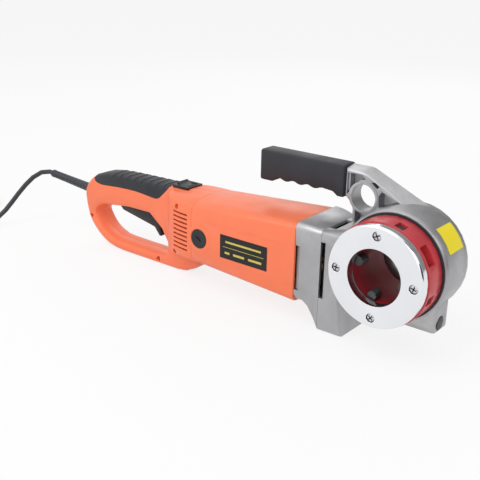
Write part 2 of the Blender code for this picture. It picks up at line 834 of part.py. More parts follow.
def merge_flat_faces(mesh):
    """Merge the coplanar faces that the booleans leave."""
    shape = bmesh.new()
    shape.from_mesh(mesh)
    bmesh.ops.dissolve_limit(shape, angle_limit=FLAT_ANGLE, verts=shape.verts, edges=shape.edges)
    shape.to_mesh(mesh)
    shape.free()


def part(solid, name, finish, pivot=DATUM):
    """Turn a working solid into a named part, with its origin on its pivot where it moves."""
    colour, roughness, metallic = finish
    origin = Vector((0, 0, 0)) if pivot is DATUM else pivot.location
    moved(solid, Matrix.Translation(-origin))
    merge_flat_faces(solid.data)
    solid.name = name
    solid.data.name = name
    solid.parent = pivot
    solid.hide_render = False
    solid.display_type = "TEXTURED"
    TOOLS.objects.unlink(solid)
    PARTS.objects.link(solid)
    solid.data.materials.clear()
    solid.data.materials.append(new_material(name + "_finish", colour, roughness, metallic))
    solid.data.shade_smooth()
    solid.data.set_sharp_from_angle(angle=math.radians(30))
    return solid


# Fasteners


def screw_solid(axis, centre, top, inward, head, shank, length):
    """A slotted screw whose head's top is at a place on an axis; inward is 1 or -1 along it."""
    profile = [
        (0, 0), (head, 0), (head, SCREW_HEAD_DEPTH / 2), (shank, SCREW_HEAD_DEPTH), (shank, length), (0, length),
    ]
    profile = [(radius, top + inward * along) for radius, along in profile]
    if inward > 0:
        profile.reverse()
    solid = turned(axis, centre, profile, steps=FASTENER_STEPS)
    reach = head * SLOT_LENGTH_SHARE
    for long_way in (0, 1):
        sides = [reach, SLOT_WIDTH / 2] if long_way else [SLOT_WIDTH / 2, reach]
        low = [centre[0] - sides[0], centre[1] - sides[1]]
        high = [centre[0] + sides[0], centre[1] + sides[1]]
        ends = sorted((top - inward * OVERRUN, top + inward * SLOT_DEPTH))
        if axis == "Y":
            cutter = box((low[0], ends[0], low[1]), (high[0], ends[1], high[1]))
        else:
            cutter = box((ends[0], *low), (ends[1], *high))
        cut(solid, cutter)
    return solid


def around(radius, angle):
    """A place on a circle about the die axis, as (x, z)."""
    return (radius * math.cos(angle), radius * math.sin(angle))


def radial_box(angle, inner, outer, width, front, back):
    """A box that lies along a radius of the die head."""
    return spun(box((inner, front, -width / 2), (outer, back, width / 2)), "Y", -angle)


# Die head


def die_angles(start=DIE_ANGLE):
    """The angles of the die slots or of the windows."""
    return [start + step * math.radians(360) / DIE_COUNT for step in range(DIE_COUNT)]


def plate_screw_places():
    """The places of the cover plate's screws."""
    return [around(PLATE_SCREW_CIRCLE, step * math.radians(360) / DIE_COUNT) for step in range(DIE_COUNT)]


def build_cover_plate():
    """The bright plate over the dies, with a rounded rim and sunk screw seats."""
    chamfer = PLATE_RIM * PLATE_RIM_SHARE
    profile = [
        (PLATE_BORE + chamfer, 0), (PLATE_BORE, chamfer), (PLATE_BORE, PLATE_THICKNESS),
        (PLATE_RADIUS - chamfer, PLATE_THICKNESS), (PLATE_RADIUS, PLATE_THICKNESS - chamfer),
        (PLATE_RADIUS, PLATE_RIM), (PLATE_RADIUS - chamfer, chamfer), (PLATE_RADIUS - PLATE_RIM, 0),
    ]
    plate = turned("Y", (0, 0), profile, closed=True)
    seat = SCREW_HEAD_DEPTH + PLATE_SCREW_SINK + GAP
    for place in plate_screw_places():
        cut(plate, rod("Y", place, -OVERRUN, seat, PLATE_SCREW_HEAD + GAP, FASTENER_STEPS))
        cut(plate, rod("Y", place, -OVERRUN, PLATE_THICKNESS + OVERRUN, PLATE_SCREW_SHANK + GAP, FASTENER_STEPS))
    part(plate, "cover_plate", BRIGHT, DIE_AXIS)


def build_plate_screws():
    """Four screws that hold the plate on the drum."""
    for index, place in enumerate(plate_screw_places(), 1):
        screw = screw_solid("Y", place, PLATE_SCREW_SINK, 1, PLATE_SCREW_HEAD, PLATE_SCREW_SHANK, PLATE_SCREW_LENGTH)
        part(screw, f"cover_plate_screw_{index}", STEEL, DIE_AXIS)


def hub_outline(corner):
    """The drum's eight-sided drive, as seen along the die axis."""
    step = math.radians(360) / HUB_SIDES
    return [around(corner, step * (side + 0.5)) for side in range(HUB_SIDES)]


def build_drum():
    """The drum with its die slots, windows and eight-sided hub."""
    front = PLATE_THICKNESS + GAP
    profile = [(DRUM_BORE, front), (DRUM_BORE, DRUM_BACK), (DRUM_RADIUS, DRUM_BACK), (DRUM_RADIUS, front)]
    drum = turned("Y", (0, 0), profile, closed=True)
    hub = slab("Y", hub_outline(HUB_CORNER), DRUM_BACK - GAP, HUB_BACK)
    cut(hub, rod("Y", (0, 0), DRUM_BACK - OVERRUN, HUB_BACK + OVERRUN, DRUM_BORE, ROUND_STEPS))
    join(drum, hub)
    slot_front = DIE_FRONT - GAP
    slot_back = DIE_FRONT + DIE_DEPTH + GAP
    reach = DRUM_RADIUS + OVERRUN
    for angle in die_angles():
        cut(drum, radial_box(angle, DRUM_BORE - OVERRUN, reach, DIE_WIDTH + 2 * GAP, slot_front, slot_back))
    for angle in die_angles(WINDOW_ANGLE):
        cut(drum, radial_box(angle, WINDOW_FLOOR, reach, WINDOW_WIDTH, slot_front, slot_back))
    for place in plate_screw_places():
        depth = PLATE_SCREW_LENGTH + PLATE_SCREW_SINK + GAP
        cut(drum, rod("Y", place, front - OVERRUN, depth, PLATE_SCREW_SHANK + GAP, FASTENER_STEPS))
    part(drum, "die_head_drum", RED_PAINT, DIE_AXIS)


def die_outline():
    """A die seen along the die axis: a block with a narrowed, toothed inner end."""
    half = DIE_WIDTH / 2
    tip = half * DIE_TIP_WIDTH_SHARE
    return [(DIE_INNER, -tip), (DIE_INNER + DIE_TIP, -half), (DIE_OUTER, -half), (DIE_OUTER, half),
            (DIE_INNER + DIE_TIP, half), (DIE_INNER, tip)]


def build_dies():
    """Four thread-cutting dies in the drum's slots."""
    pitch = DIE_DEPTH / (DIE_TEETH + 1)
    for index, angle in enumerate(die_angles(), 1):
        die = slab("Y", die_outline(), DIE_FRONT, DIE_FRONT + DIE_DEPTH)
        for tooth in range(DIE_TEETH):
            middle = DIE_FRONT + pitch * (tooth + 1)
            groove = [(DIE_INNER + DIE_TOOTH_DEPTH, middle), (DIE_INNER - DIE_TOOTH_DEPTH, middle - pitch / 2.5),
                      (DIE_INNER - DIE_TOOTH_DEPTH, middle + pitch / 2.5)]
            cut(die, slab("Z", groove, -DIE_WIDTH, DIE_WIDTH))
        part(spun(die, "Y", -angle), f"die_{index}", DARK, DIE_AXIS)


# Gears


def tooth_ring(teeth, root, tip, tip_share, root_share, phase):
    """Points round a gear, four for each tooth, with a tooth centred at the phase angle."""
    pitch = math.radians(360) / teeth
    points = []
    for tooth in range(teeth):
        middle = phase + tooth * pitch
        for radius, share in ((root, -root_share), (tip, -tip_share), (tip, tip_share), (root, root_share)):
            points.append(around(radius, middle + share * pitch))
    return points


def spur_outline(teeth, phase):
    """A straight-cut gear's outline."""
    radius = teeth * GEAR_MODULE / 2
    root = radius - GEAR_MODULE * DEDENDUM_SHARE
    tip = radius + GEAR_MODULE * ADDENDUM_SHARE
    return tooth_ring(teeth, root, tip, TOOTH_TIP_SHARE, TOOTH_ROOT_SHARE, phase)


MESH_ANGLE = math.atan2(LAYSHAFT_Z, LAYSHAFT_X)


def build_drive_ring():
    """The ring gear that turns the die head, with its two journals and eight-sided bore."""
    rear = REAR_BUSH_FRONT + GAP
    end = COVER_BACK - COVER_LIP - 2 * GAP
    ring = rod("Y", (0, 0), RECESS_FLOOR + GAP, end, JOURNAL_RADIUS, ROUND_STEPS)
    join(ring, rod("Y", (0, 0), FLANGE_BACK + GAP, rear - 2 * GAP, SHOULDER_RADIUS, ROUND_STEPS))
    gap_phase = MESH_ANGLE + math.radians(180) / RING_TEETH
    join(ring, slab("Y", spur_outline(RING_TEETH, gap_phase), GEAR_FRONT, GEAR_BACK))
    cut(ring, slab("Y", hub_outline(HUB_CORNER + GAP), RECESS_FLOOR - OVERRUN, COVER_BACK))
    part(ring, "drive_ring", STEEL, DIE_AXIS)


def build_bushes():
    """The plain bearings at each end of the drive ring."""
    inner = JOURNAL_RADIUS + GAP
    outer = inner + BUSH_WALL
    front = ring_of("Y", (0, 0), inner, outer, RECESS_FLOOR + GAP, FLANGE_BACK - GAP)
    part(front, "front_bush", BEARING)
    end = COVER_BACK - COVER_LIP - GAP
    part(ring_of("Y", (0, 0), inner, outer, REAR_BUSH_FRONT, end), "rear_bush", BEARING)


BUSH_SEAT = JOURNAL_RADIUS + GAP + BUSH_WALL + GAP


def cover_screw_places():
    """The places of the rear cover's screws."""
    turn = math.radians(360) / COVER_SCREW_COUNT
    return [around(COVER_SCREW_CIRCLE, COVER_SCREW_ANGLE + step * turn) for step in range(COVER_SCREW_COUNT)]


def build_rear_cover():
    """The cover that closes the gear chamber and seats the rear bush."""
    front = RING_BACK + GAP
    boss = CHAMBER_RADIUS - 2 * GAP
    lip = COVER_BACK - COVER_LIP
    profile = [(COVER_BORE, COVER_BACK), (COVER_RADIUS, COVER_BACK), (COVER_RADIUS, front), (boss, front),
               (boss, REAR_BUSH_FRONT), (BUSH_SEAT, REAR_BUSH_FRONT), (BUSH_SEAT, lip), (COVER_BORE, lip)]
    cover = turned("Y", (0, 0), profile, closed=True)
    seat = COVER_BACK - SCREW_HEAD_DEPTH - PLATE_SCREW_SINK - GAP
    for place in cover_screw_places():
        cut(cover, rod("Y", place, seat, COVER_BACK + OVERRUN, COVER_SCREW_HEAD + GAP, FASTENER_STEPS))
        cut(cover, rod("Y", place, front - OVERRUN, COVER_BACK, COVER_SCREW_SHANK + GAP, FASTENER_STEPS))
    part(cover, "rear_cover", CAST)


def build_cover_screws():
    """Four screws that hold the rear cover."""
    top = COVER_BACK - PLATE_SCREW_SINK
    for index, place in enumerate(cover_screw_places(), 1):
        screw = screw_solid("Y", place, top, -1, COVER_SCREW_HEAD, COVER_SCREW_SHANK, COVER_SCREW_LENGTH)
        part(screw, f"rear_cover_screw_{index}", STEEL)


def bevel_rings(teeth, mate_teeth, phase):
    """Heel and toe rings of a bevel gear as (across, across, along) with the pair's apex at zero."""
    radius = teeth * BEVEL_MODULE / 2
    depth = mate_teeth * BEVEL_MODULE / 2
    slope = math.atan2(radius, depth)
    tip = BEVEL_MODULE * BEVEL_ADDENDUM_SHARE
    root = -BEVEL_MODULE * BEVEL_DEDENDUM_SHARE
    pitch = math.radians(360) / teeth
    heel = []
    for tooth in range(teeth):
        for rise, share in ((root, -BEVEL_ROOT_SHARE), (tip, -BEVEL_TIP_SHARE), (tip, BEVEL_TIP_SHARE),
                            (root, BEVEL_ROOT_SHARE)):
            angle = phase + (tooth + share) * pitch
            reach = radius + rise * math.cos(slope)
            heel.append((reach * math.cos(angle), reach * math.sin(angle), -depth + rise * math.sin(slope)))
    toe = [tuple(TOE_SHARE * value for value in point) for point in heel]
    return heel, toe


def level_ring(ring, radius, along):
    """The points of a ring drawn to one radius and one place along the axis."""
    scale = [radius / math.hypot(x, z) for x, z, _ in ring]
    return [(x * s, z * s, along) for (x, z, _), s in zip(ring, scale)]


def build_bevel_gear():
    """The bevel gear on the layshaft; its teeth face the motor shaft."""
    heel, toe = bevel_rings(BEVEL_TEETH, PINION_TEETH, math.radians(180) + math.radians(180) / BEVEL_TEETH)
    bore = LAYSHAFT_RADIUS + GAP
    back = BEVEL_BACK - MOTOR_DEPTH
    rim = max(math.hypot(x, z) for x, z, _ in heel)
    front = min(along for _, _, along in toe)
    rings = [level_ring(heel, bore, back), level_ring(heel, rim, back), heel, toe, level_ring(heel, bore, front)]
    place = Vector((LAYSHAFT_X, MOTOR_DEPTH, LAYSHAFT_Z))
    rings = [[place + Vector((x, along, z)) for x, z, along in ring] for ring in rings]
    part(loft(rings, closed=True), "bevel_gear", STEEL, LAYSHAFT_AXIS)


def build_layshaft():
    """The layshaft, its spur pinion and its two bearings."""
    shaft = rod("Y", LAYSHAFT, LAYSHAFT_FRONT, LAYSHAFT_BACK, LAYSHAFT_RADIUS, ROUND_STEPS // 2)
    part(shaft, "layshaft", STEEL, LAYSHAFT_AXIS)
    outline = [(x + LAYSHAFT_X, z + LAYSHAFT_Z) for x, z in spur_outline(SPUR_TEETH, MESH_ANGLE + math.radians(180))]
    spur = slab("Y", outline, SPUR_FRONT, SPUR_BACK)
    cut(spur, rod("Y", LAYSHAFT, SPUR_FRONT - OVERRUN, SPUR_BACK + OVERRUN, LAYSHAFT_RADIUS + GAP, ROUND_STEPS // 2))
    part(spur, "spur_pinion", STEEL, LAYSHAFT_AXIS)
    for name, front in (("layshaft_bearing_near", NEAR_BEARING_FRONT), ("layshaft_bearing_far", FAR_BEARING_FRONT)):
        inner = LAYSHAFT_RADIUS + GAP
        bearing = ring_of("Y", LAYSHAFT, inner, LAYSHAFT_BEARING, front, front + BEARING_LENGTH, ROUND_STEPS // 2)
        part(bearing, name, BEARING)


# Gear head casting


def softened(outline, radius, steps=3):
    """Round each sharp corner of an outline with an arc."""
    result = []
    count = len(outline)
    for i in range(count):
        corner = Vector(outline[i])
        before = (Vector(outline[i - 1]) - corner).normalized()
        after = (Vector(outline[(i + 1) % count]) - corner).normalized()
        half_angle = before.angle(after) / 2
        middle = (before + after).normalized()
        centre = corner + middle * radius / math.sin(half_angle)
        reach = radius / math.tan(half_angle)
        first = corner + before * reach - centre
        last = corner + after * reach - centre
        sweep = first.angle_signed(last)
        for step in range(steps + 1):
            turn = Matrix.Rotation(-sweep * step / steps, 2)
            result.append(tuple(centre + turn @ first))
    return result


def rectangle(low, high):
    """The corners of a rectangle."""
    return [(low[0], low[1]), (high[0], low[1]), (high[0], high[1]), (low[0], high[1])]


def block_solid():
    """The gear block with its foot, before it is bored."""
    left = SEAM_X - 2 * OVERRUN
    inner = -RECESS_RADIUS * math.cos(math.radians(45))
    outline = [(left, FLOOR), (BLOCK_RIGHT_LOW, FLOOR), (BLOCK_RIGHT_HIGH, BLOCK_SHOULDER), (inner, inner),
               (inner, BLOCK_TOP), (left, BLOCK_TOP)]
    return slab("Y", outline, BLOCK_FRONT, BLOCK_BACK, rim=BLOCK_RIM)


def ring_solid():
    """The round gear chamber's outside."""
    lip = RING_FRONT + RING_LIP
    profile = [(0, RING_BACK), (RING_BACK_RADIUS, RING_BACK), (RING_RADIUS, lip + RING_LIP_WIDTH),
               (mix(RING_FRONT_RADIUS, RING_RADIUS, 0.7), lip), (RING_FRONT_RADIUS, RING_FRONT), (0, RING_FRONT)]
    return turned("Y", (0, 0), profile, steps=ROUND_STEPS)


def flat_faced(obj):
    """Split every face that strays from flat, so that each face has one plane."""
    shape = bmesh.new()
    shape.from_mesh(obj.data)
    bmesh.ops.connect_verts_nonplanar(shape, angle_limit=FLAT_ANGLE, faces=shape.faces)
    shape.to_mesh(obj.data)
    shape.free()
    return obj


def across(outline, depth):
    """Stand a flat outline upright at a depth across the tool."""
    return [(x, depth, z) for x, z in outline]


def arm_solid():
    """The arm with its pockets, its support-bar boss and the bar for the sleeve."""
    size = (ARM_WIDTH, ARM_HEIGHT)
    corner = (ARM_LEFT, 0)
    front = laid_out(ARM_SHARES, corner, size)
    back = laid_out(ARM_BACK_SHARES, corner, size)
    arm = loft([
        across(grown(front, -ARM_RIM), ARM_FRONT),
        across(front, ARM_FRONT + ARM_RIM),
        across(back, RING_BACK - ARM_RIM),
        across(grown(back, -ARM_RIM), RING_BACK),
    ])
    flat_faced(arm)
    for shares in (TALL_POCKET_SHARES, SMALL_POCKET_SHARES, BIG_POCKET_SHARES, LOW_POCKET_SHARES):
        cut(arm, slab("Y", laid_out(shares, corner, size), ARM_FRONT - OVERRUN, RING_BACK - ARM_WEB))
    boss = (BOSS_X, BOSS_Z)
    join(arm, rod("Y", boss, ARM_FRONT - BOSS_PROUD, RING_BACK + BOSS_PROUD, BOSS_RADIUS, ROUND_STEPS))
    cut(arm, rod("Y", boss, ARM_FRONT - OVERRUN, RING_BACK + OVERRUN, BOSS_HOLE, ROUND_STEPS))
    return join(arm, box((BAR_END, BAR_NEAR, BAR_LOW), (ARM_LEFT + OVERRUN, BAR_FAR, BAR_HIGH)))


def lug_solid():
    """The lug that carries the lock button."""
    outline = rectangle((LUG_LEFT, LUG_LOW), (LUG_RIGHT, LUG_HIGH))
    return slab("Y", softened(outline, LUG_CORNER), LUG_NEAR, LUG_FAR, rim=LUG_RIM, rim_steps=1)


def head_bore():
    """The stepped bore: drum recess, bush seat, gear chamber and cover seat."""
    front = BLOCK_FRONT - OVERRUN
    back = BLOCK_BACK + OVERRUN
    profile = [(0, front), (RECESS_RADIUS, front), (RECESS_RADIUS, RECESS_FLOOR), (BUSH_SEAT, RECESS_FLOOR),
               (BUSH_SEAT, FLANGE_BACK), (CHAMBER_RADIUS, FLANGE_BACK), (CHAMBER_RADIUS, RING_BACK),
               (COVER_RADIUS + GAP, RING_BACK), (COVER_RADIUS + GAP, back), (0, back)]
    return turned("Y", (0, 0), profile, steps=ROUND_STEPS)


def block_hollow():
    """The hollow behind the seam, where the motor's pinion meets the bevel gear."""
    low = (SEAM_X - 3 * OVERRUN, BLOCK_FRONT + BLOCK_WALL, FLOOR + BLOCK_WALL)
    high = (SEAM_X + HOLLOW_DEPTH, HOLLOW_BACK, BLOCK_TOP - BLOCK_WALL)
    return box(low, high)


def seam_slots():
    """The slots beside the seam: one in the near wall, two in the far wall, one on top."""
    rear = SEAM_X - OVERRUN
    front = SEAM_X + SIDE_SLOT_WIDTH
    near = BLOCK_FRONT + BLOCK_WALL + OVERRUN
    far = HOLLOW_BACK - OVERRUN
    back = BLOCK_BACK + OVERRUN
    seat = LAYSHAFT_BEARING + BLOCK_RIM
    return [
        box((rear, BLOCK_FRONT - OVERRUN, SIDE_SLOT_BOTTOM), (front, near, SIDE_SLOT_TOP)),
        box((rear, far, LAYSHAFT_Z + seat), (front, back, SIDE_SLOT_TOP)),
        box((rear, far, SIDE_SLOT_BOTTOM), (front, back, LAYSHAFT_Z - seat)),
        box((rear, TOP_SLOT_NEAR, BLOCK_TOP - BLOCK_WALL - OVERRUN),
            (SEAM_X + TOP_SLOT_WIDTH, TOP_SLOT_FAR, BLOCK_TOP + OVERRUN)),
    ]


def build_gear_head():
    """The casting that carries the ring, the layshaft, the arm, the foot and the lug."""
    head = join(block_solid(), ring_solid(), arm_solid(), lug_solid())
    cut(head, block_hollow())
    join(head, rod("Y", LAYSHAFT, BEARING_BOSS_FRONT, FLANGE_BACK + OVERRUN, BEARING_BOSS, ROUND_STEPS // 2))
    cut(head, rod("Y", LAYSHAFT, FLANGE_BACK, HOLLOW_BACK, GEAR_ROOM, ROUND_STEPS), head_bore())
    seat = LAYSHAFT_BEARING + GAP
    near_end = NEAR_BEARING_FRONT + BEARING_LENGTH + GAP
    far_end = FAR_BEARING_FRONT + BEARING_LENGTH + GAP
    cut(head, rod("Y", LAYSHAFT, NEAR_BEARING_FRONT - GAP, near_end, seat, ROUND_STEPS // 2))
    cut(head, rod("Y", LAYSHAFT, NEAR_BEARING_FRONT, BEVEL_BACK, LAYSHAFT_RADIUS + GAP, ROUND_STEPS // 2))
    cut(head, rod("Y", LAYSHAFT, HOLLOW_BACK - GAP, far_end, seat, ROUND_STEPS // 2))
    cut(head, *seam_slots())
    below_bar = (SEAM_X + GAP / 2, BLOCK_BACK + OVERRUN, BLOCK_TOP + OVERRUN)
    cut(head, box((SEAM_X - BLOCK_BACK, BLOCK_FRONT - OVERRUN, FLOOR - OVERRUN), below_bar))
    place = (BUTTON_Y, BUTTON_Z)
    seat_end = LUG_RIGHT - BUTTON_DEPTH - BUTTON_TRAVEL - GAP
    stem_end = BUTTON_STEM_END - BUTTON_TRAVEL - GAP
    cut(head, rod("X", place, seat_end, LUG_RIGHT + OVERRUN, BUTTON_RADIUS + GAP, ROUND_STEPS // 2))
    cut(head, rod("X", place, stem_end, LUG_RIGHT, BUTTON_STEM + GAP, ROUND_STEPS // 2))
    hole_end = COVER_BACK - PLATE_SCREW_SINK - COVER_SCREW_LENGTH - GAP
    for screw in cover_screw_places():
        cut(head, rod("Y", screw, hole_end, RING_BACK + GAP, COVER_SCREW_SHANK + GAP, FASTENER_STEPS))
    part(head, "gear_head", CAST)


def build_seam_liner():
    """The dark liner inside the block, which shows through the slots beside the seam."""
    low = (BLOCK_FRONT + BLOCK_WALL + GAP, FLOOR + BLOCK_WALL + GAP)
    high = (HOLLOW_BACK - GAP, BLOCK_TOP - BLOCK_WALL - GAP)
    outer = rectangle(low, high)
    start = SEAM_X + GAP
    end = SEAM_X + HOLLOW_DEPTH - GAP
    liner = slab("X", outer, start, end, holes=[grown(outer, -LINER_WALL)])
    room = GEAR_ROOM
    cut(liner, box((start - OVERRUN, SPUR_FRONT, LAYSHAFT_Z - room), (end + OVERRUN, BLOCK_BACK, LAYSHAFT_Z + room)))
    part(liner, "seam_liner", PLASTIC)


def sleeve_outline():
    """The rubber sleeve from the side: a flat top, flared ends and finger grooves below."""
    first = SLEEVE_END + SLEEVE_FIRST_GROOVE
    steps = (SLEEVE_GROOVES - 1) * SLEEVE_WAVE_STEPS
    grooves = []
    for step in range(steps + 1):
        turn = math.radians(360) * step / SLEEVE_WAVE_STEPS
        x = first + SLEEVE_PITCH * step / SLEEVE_WAVE_STEPS
        grooves.append((x, SLEEVE_GRIP + SLEEVE_WAVE * math.cos(turn)))
    rear = softened(rectangle((SLEEVE_END, SLEEVE_LOW), (SLEEVE_END + 2 * SLEEVE_FLARE, SLEEVE_TOP)), SLEEVE_CORNER)
    front = softened(rectangle((SLEEVE_FRONT_FLARE, SLEEVE_LOW), (SLEEVE_START, SLEEVE_TOP)), SLEEVE_CORNER - GAP)
    corner = len(rear) // 4
    flares = [(SLEEVE_END + SLEEVE_FLARE, SLEEVE_LOW)]
    return (rear[:corner] + flares + grooves + [(SLEEVE_LAST_GRIP, SLEEVE_GRIP), (SLEEVE_FRONT_FLARE, SLEEVE_LOW)]
            + front[corner:3 * corner] + rear[3 * corner:])


def build_sleeve():
    """The rubber sleeve over the arm's bar, with a blind socket for the bar."""
    sleeve = slab("Y", sleeve_outline(), SLEEVE_NEAR, SLEEVE_FAR, rim=SLEEVE_RIM)
    low = (BAR_END - GAP, BAR_NEAR - GAP, BAR_LOW - GAP)
    cut(sleeve, box(low, (SLEEVE_START + OVERRUN, BAR_FAR + GAP, BAR_HIGH + GAP)))
    part(sleeve, "handle_sleeve", RUBBER)


def build_lock_button():
    """The spring-loaded button in the lug's end."""
    back = LUG_RIGHT - BUTTON_DEPTH
    profile = [(0, LUG_RIGHT), (BUTTON_RADIUS - BUTTON_DOME, LUG_RIGHT), (BUTTON_RADIUS, LUG_RIGHT - BUTTON_DOME),
               (BUTTON_RADIUS, back), (BUTTON_STEM, back), (BUTTON_STEM, BUTTON_STEM_END), (0, BUTTON_STEM_END)]
    button = turned("X", (BUTTON_Y, BUTTON_Z), profile, steps=ROUND_STEPS // 2)
    part(button, "lock_button", PLASTIC, BUTTON_AXIS)


# Neck


def neck_ring(index, inset=0, x=None):
    """One section of the neck, which widens down to the foot at the seam."""
    share = NECK_LENGTH_SHARES[index]
    place = mix(HOUSING_FRONT + GAP, SEAM_X - GAP / 2, share) if x is None else x
    corner = mix(NECK_CORNER, BLOCK_RIM, share) - inset / 2
    return rounded_ring(
        place,
        mix(NECK_REAR_NEAR, BLOCK_FRONT, share) + inset,
        mix(NECK_REAR_FAR, BLOCK_BACK, NECK_FAR_SHARES[index]) - inset,
        mix(NECK_WAIST, FLOOR, NECK_FALL_SHARES[index]) + inset,
        mix(NECK_REAR_TOP, BLOCK_TOP, share) - inset,
        corner,
        corner,
    )


def build_gear_case():
    """The cast neck: bulkhead, front bearing seat and two side vents."""
    last = len(NECK_LENGTH_SHARES) - 1
    case = loft([neck_ring(index) for index in range(last + 1)])
    bulkhead = HOUSING_FRONT + NECK_WALL
    inner = [neck_ring(0, NECK_WALL, bulkhead)] + [neck_ring(index, NECK_WALL) for index in range(1, last + 1)]
    inner.append(neck_ring(last, NECK_WALL, SEAM_X + OVERRUN))
    cut(case, loft(inner))
    boss_end = FRONT_BEARING_REAR + FRONT_BEARING_LENGTH
    join(case, rod("X", MOTOR, bulkhead - NECK_WALL / 2, boss_end, FRONT_BEARING_BOSS, ROUND_STEPS // 2))
    seat = FRONT_BEARING_REAR - GAP
    cut(case, rod("X", MOTOR, seat, SEAM_X, FRONT_BEARING_RADIUS + GAP, ROUND_STEPS // 2))
    cut(case, rod("X", MOTOR, HOUSING_FRONT - OVERRUN, SEAM_X, SHAFT_HOLE, ROUND_STEPS // 2))
    rear = HOUSING_FRONT - OVERRUN
    front = HOUSING_FRONT + NECK_VENT_WIDTH
    near = NECK_REAR_NEAR + NECK_WALL + GAP
    far = mix(NECK_REAR_FAR, BLOCK_BACK, NECK_FAR_SHARES[1]) - NECK_WALL - GAP
    cut(case, box((rear, NECK_REAR_NEAR - OVERRUN, NECK_VENT_BOTTOM), (front, near, NECK_VENT_TOP)))
    cut(case, box((rear, far, NECK_VENT_BOTTOM), (front, NECK_REAR_FAR + OVERRUN, NECK_VENT_TOP)))
    part(case, "gear_case", CAST)


def build_vent_baffle():
    """The dark frame inside the neck, which shows through its side vents."""
    ring = neck_ring(1, NECK_WALL + 2 * GAP)
    outer = [(point.y, point.z) for point in ring]
    start = HOUSING_FRONT + NECK_WALL + GAP
    end = start + NECK_VENT_WIDTH - 2 * GAP
    baffle = slab("X", outer, start, end, holes=[grown(outer, -BAFFLE_WALL)])
    part(baffle, "vent_baffle", PLASTIC)


# Motor


def motor_ring(points):
    """Place points given about the motor axis."""
    return [(MOTOR_DEPTH + y, LAYSHAFT_Z + z) for y, z in points]


def build_motor_shaft():
    """The motor shaft with its bevel pinion."""
    heel, toe = bevel_rings(PINION_TEETH, BEVEL_TEETH, math.radians(180))
    rings = [level_ring(heel, PINION_NECK, min(along for _, _, along in heel)), heel, toe,
             level_ring(toe, PINION_NECK / 2, max(along for _, _, along in toe))]
    apex = Vector((LAYSHAFT_X, *MOTOR))
    pinion = loft([[apex + Vector((along, y, z)) for y, z, along in ring] for ring in rings])
    heel_x = min(point.x for point in (apex + Vector((along, y, z)) for y, z, along in heel))
    shoulder = heel_x - PINION_SHOULDER
    shaft = rod("X", MOTOR, SHAFT_REAR, shoulder, SHAFT_RADIUS)
    join(shaft, rod("X", MOTOR, shoulder - OVERRUN, heel_x + PINION_SHOULDER, PINION_NECK), pinion)
    part(shaft, "motor_shaft", STEEL, MOTOR_AXIS)


def build_armature():
    """The armature's slotted core with its end windings, and the commutator."""
    bore = SHAFT_RADIUS + GAP
    pitch = 2 * math.pi / CORE_SLOTS
    root = CORE_RADIUS - CORE_SLOT_DEPTH
    tip_share = 0.5 - CORE_SLOT_WIDTH / CORE_RADIUS / pitch / 2
    root_share = 0.5 - CORE_SLOT_WIDTH / root / pitch / 2
    outline = motor_ring(tooth_ring(CORE_SLOTS, root, CORE_RADIUS, tip_share, root_share, 0))
    core = slab("X", outline, CORE_REAR, CORE_FRONT)
    windings = rod("X", MOTOR, CORE_REAR - WINDING_LENGTH, CORE_FRONT + WINDING_LENGTH, WINDING_RADIUS, CORE_SLOTS * 2)
    join(core, windings)
    cut(core, rod("X", MOTOR, CORE_REAR - WINDING_LENGTH - OVERRUN, CORE_FRONT + WINDING_LENGTH + OVERRUN, bore))
    part(core, "armature_core", WINDING, MOTOR_AXIS)
    rear = BRUSH_X - COMMUTATOR_LENGTH / 2
    commutator = ring_of("X", MOTOR, bore, COMMUTATOR_RADIUS, rear, rear + COMMUTATOR_LENGTH, ROUND_STEPS // 2)
    part(commutator, "commutator", BEARING, MOTOR_AXIS)


def build_fan():
    """The cooling fan in front of the stator."""
    bore = SHAFT_RADIUS + GAP
    blade_start = FAN_REAR + FAN_DISC / 2
    blade_end = FAN_REAR + FAN_DISC + FAN_BLADE_LENGTH
    fan = rod("X", MOTOR, FAN_REAR, FAN_REAR + FAN_DISC, FAN_RADIUS, ROUND_STEPS)
    join(fan, rod("X", MOTOR, blade_start, blade_end, FAN_HUB))
    for blade in range(FAN_BLADES):
        inner = MOTOR_DEPTH + (bore + FAN_HUB) / 2
        low = (blade_start, inner, LAYSHAFT_Z - FAN_BLADE_WIDTH / 2)
        high = (blade_end, MOTOR_DEPTH + FAN_RADIUS - FAN_BLADE_WIDTH, LAYSHAFT_Z + FAN_BLADE_WIDTH / 2)
        angle = math.radians(360) * blade / FAN_BLADES
        join(fan, spun(box(low, high), "X", angle, MOTOR))
    cut(fan, rod("X", MOTOR, FAN_REAR - OVERRUN, blade_end + OVERRUN, bore))
    part(fan, "fan", PLASTIC, MOTOR_AXIS)


def build_motor_bearings():
    """The bearings at both ends of the motor shaft."""
    bore = SHAFT_RADIUS + GAP
    front_end = FRONT_BEARING_REAR + FRONT_BEARING_LENGTH
    front = ring_of("X", MOTOR, bore, FRONT_BEARING_RADIUS, FRONT_BEARING_REAR, front_end, ROUND_STEPS // 2)
    part(front, "motor_bearing_front", BEARING)
    rear = bracket_rear() + GAP
    bearing = ring_of("X", MOTOR, bore, REAR_BEARING_RADIUS, rear, rear + REAR_BEARING_LENGTH, ROUND_STEPS // 2)
    part(bearing, "motor_bearing_rear", BEARING)


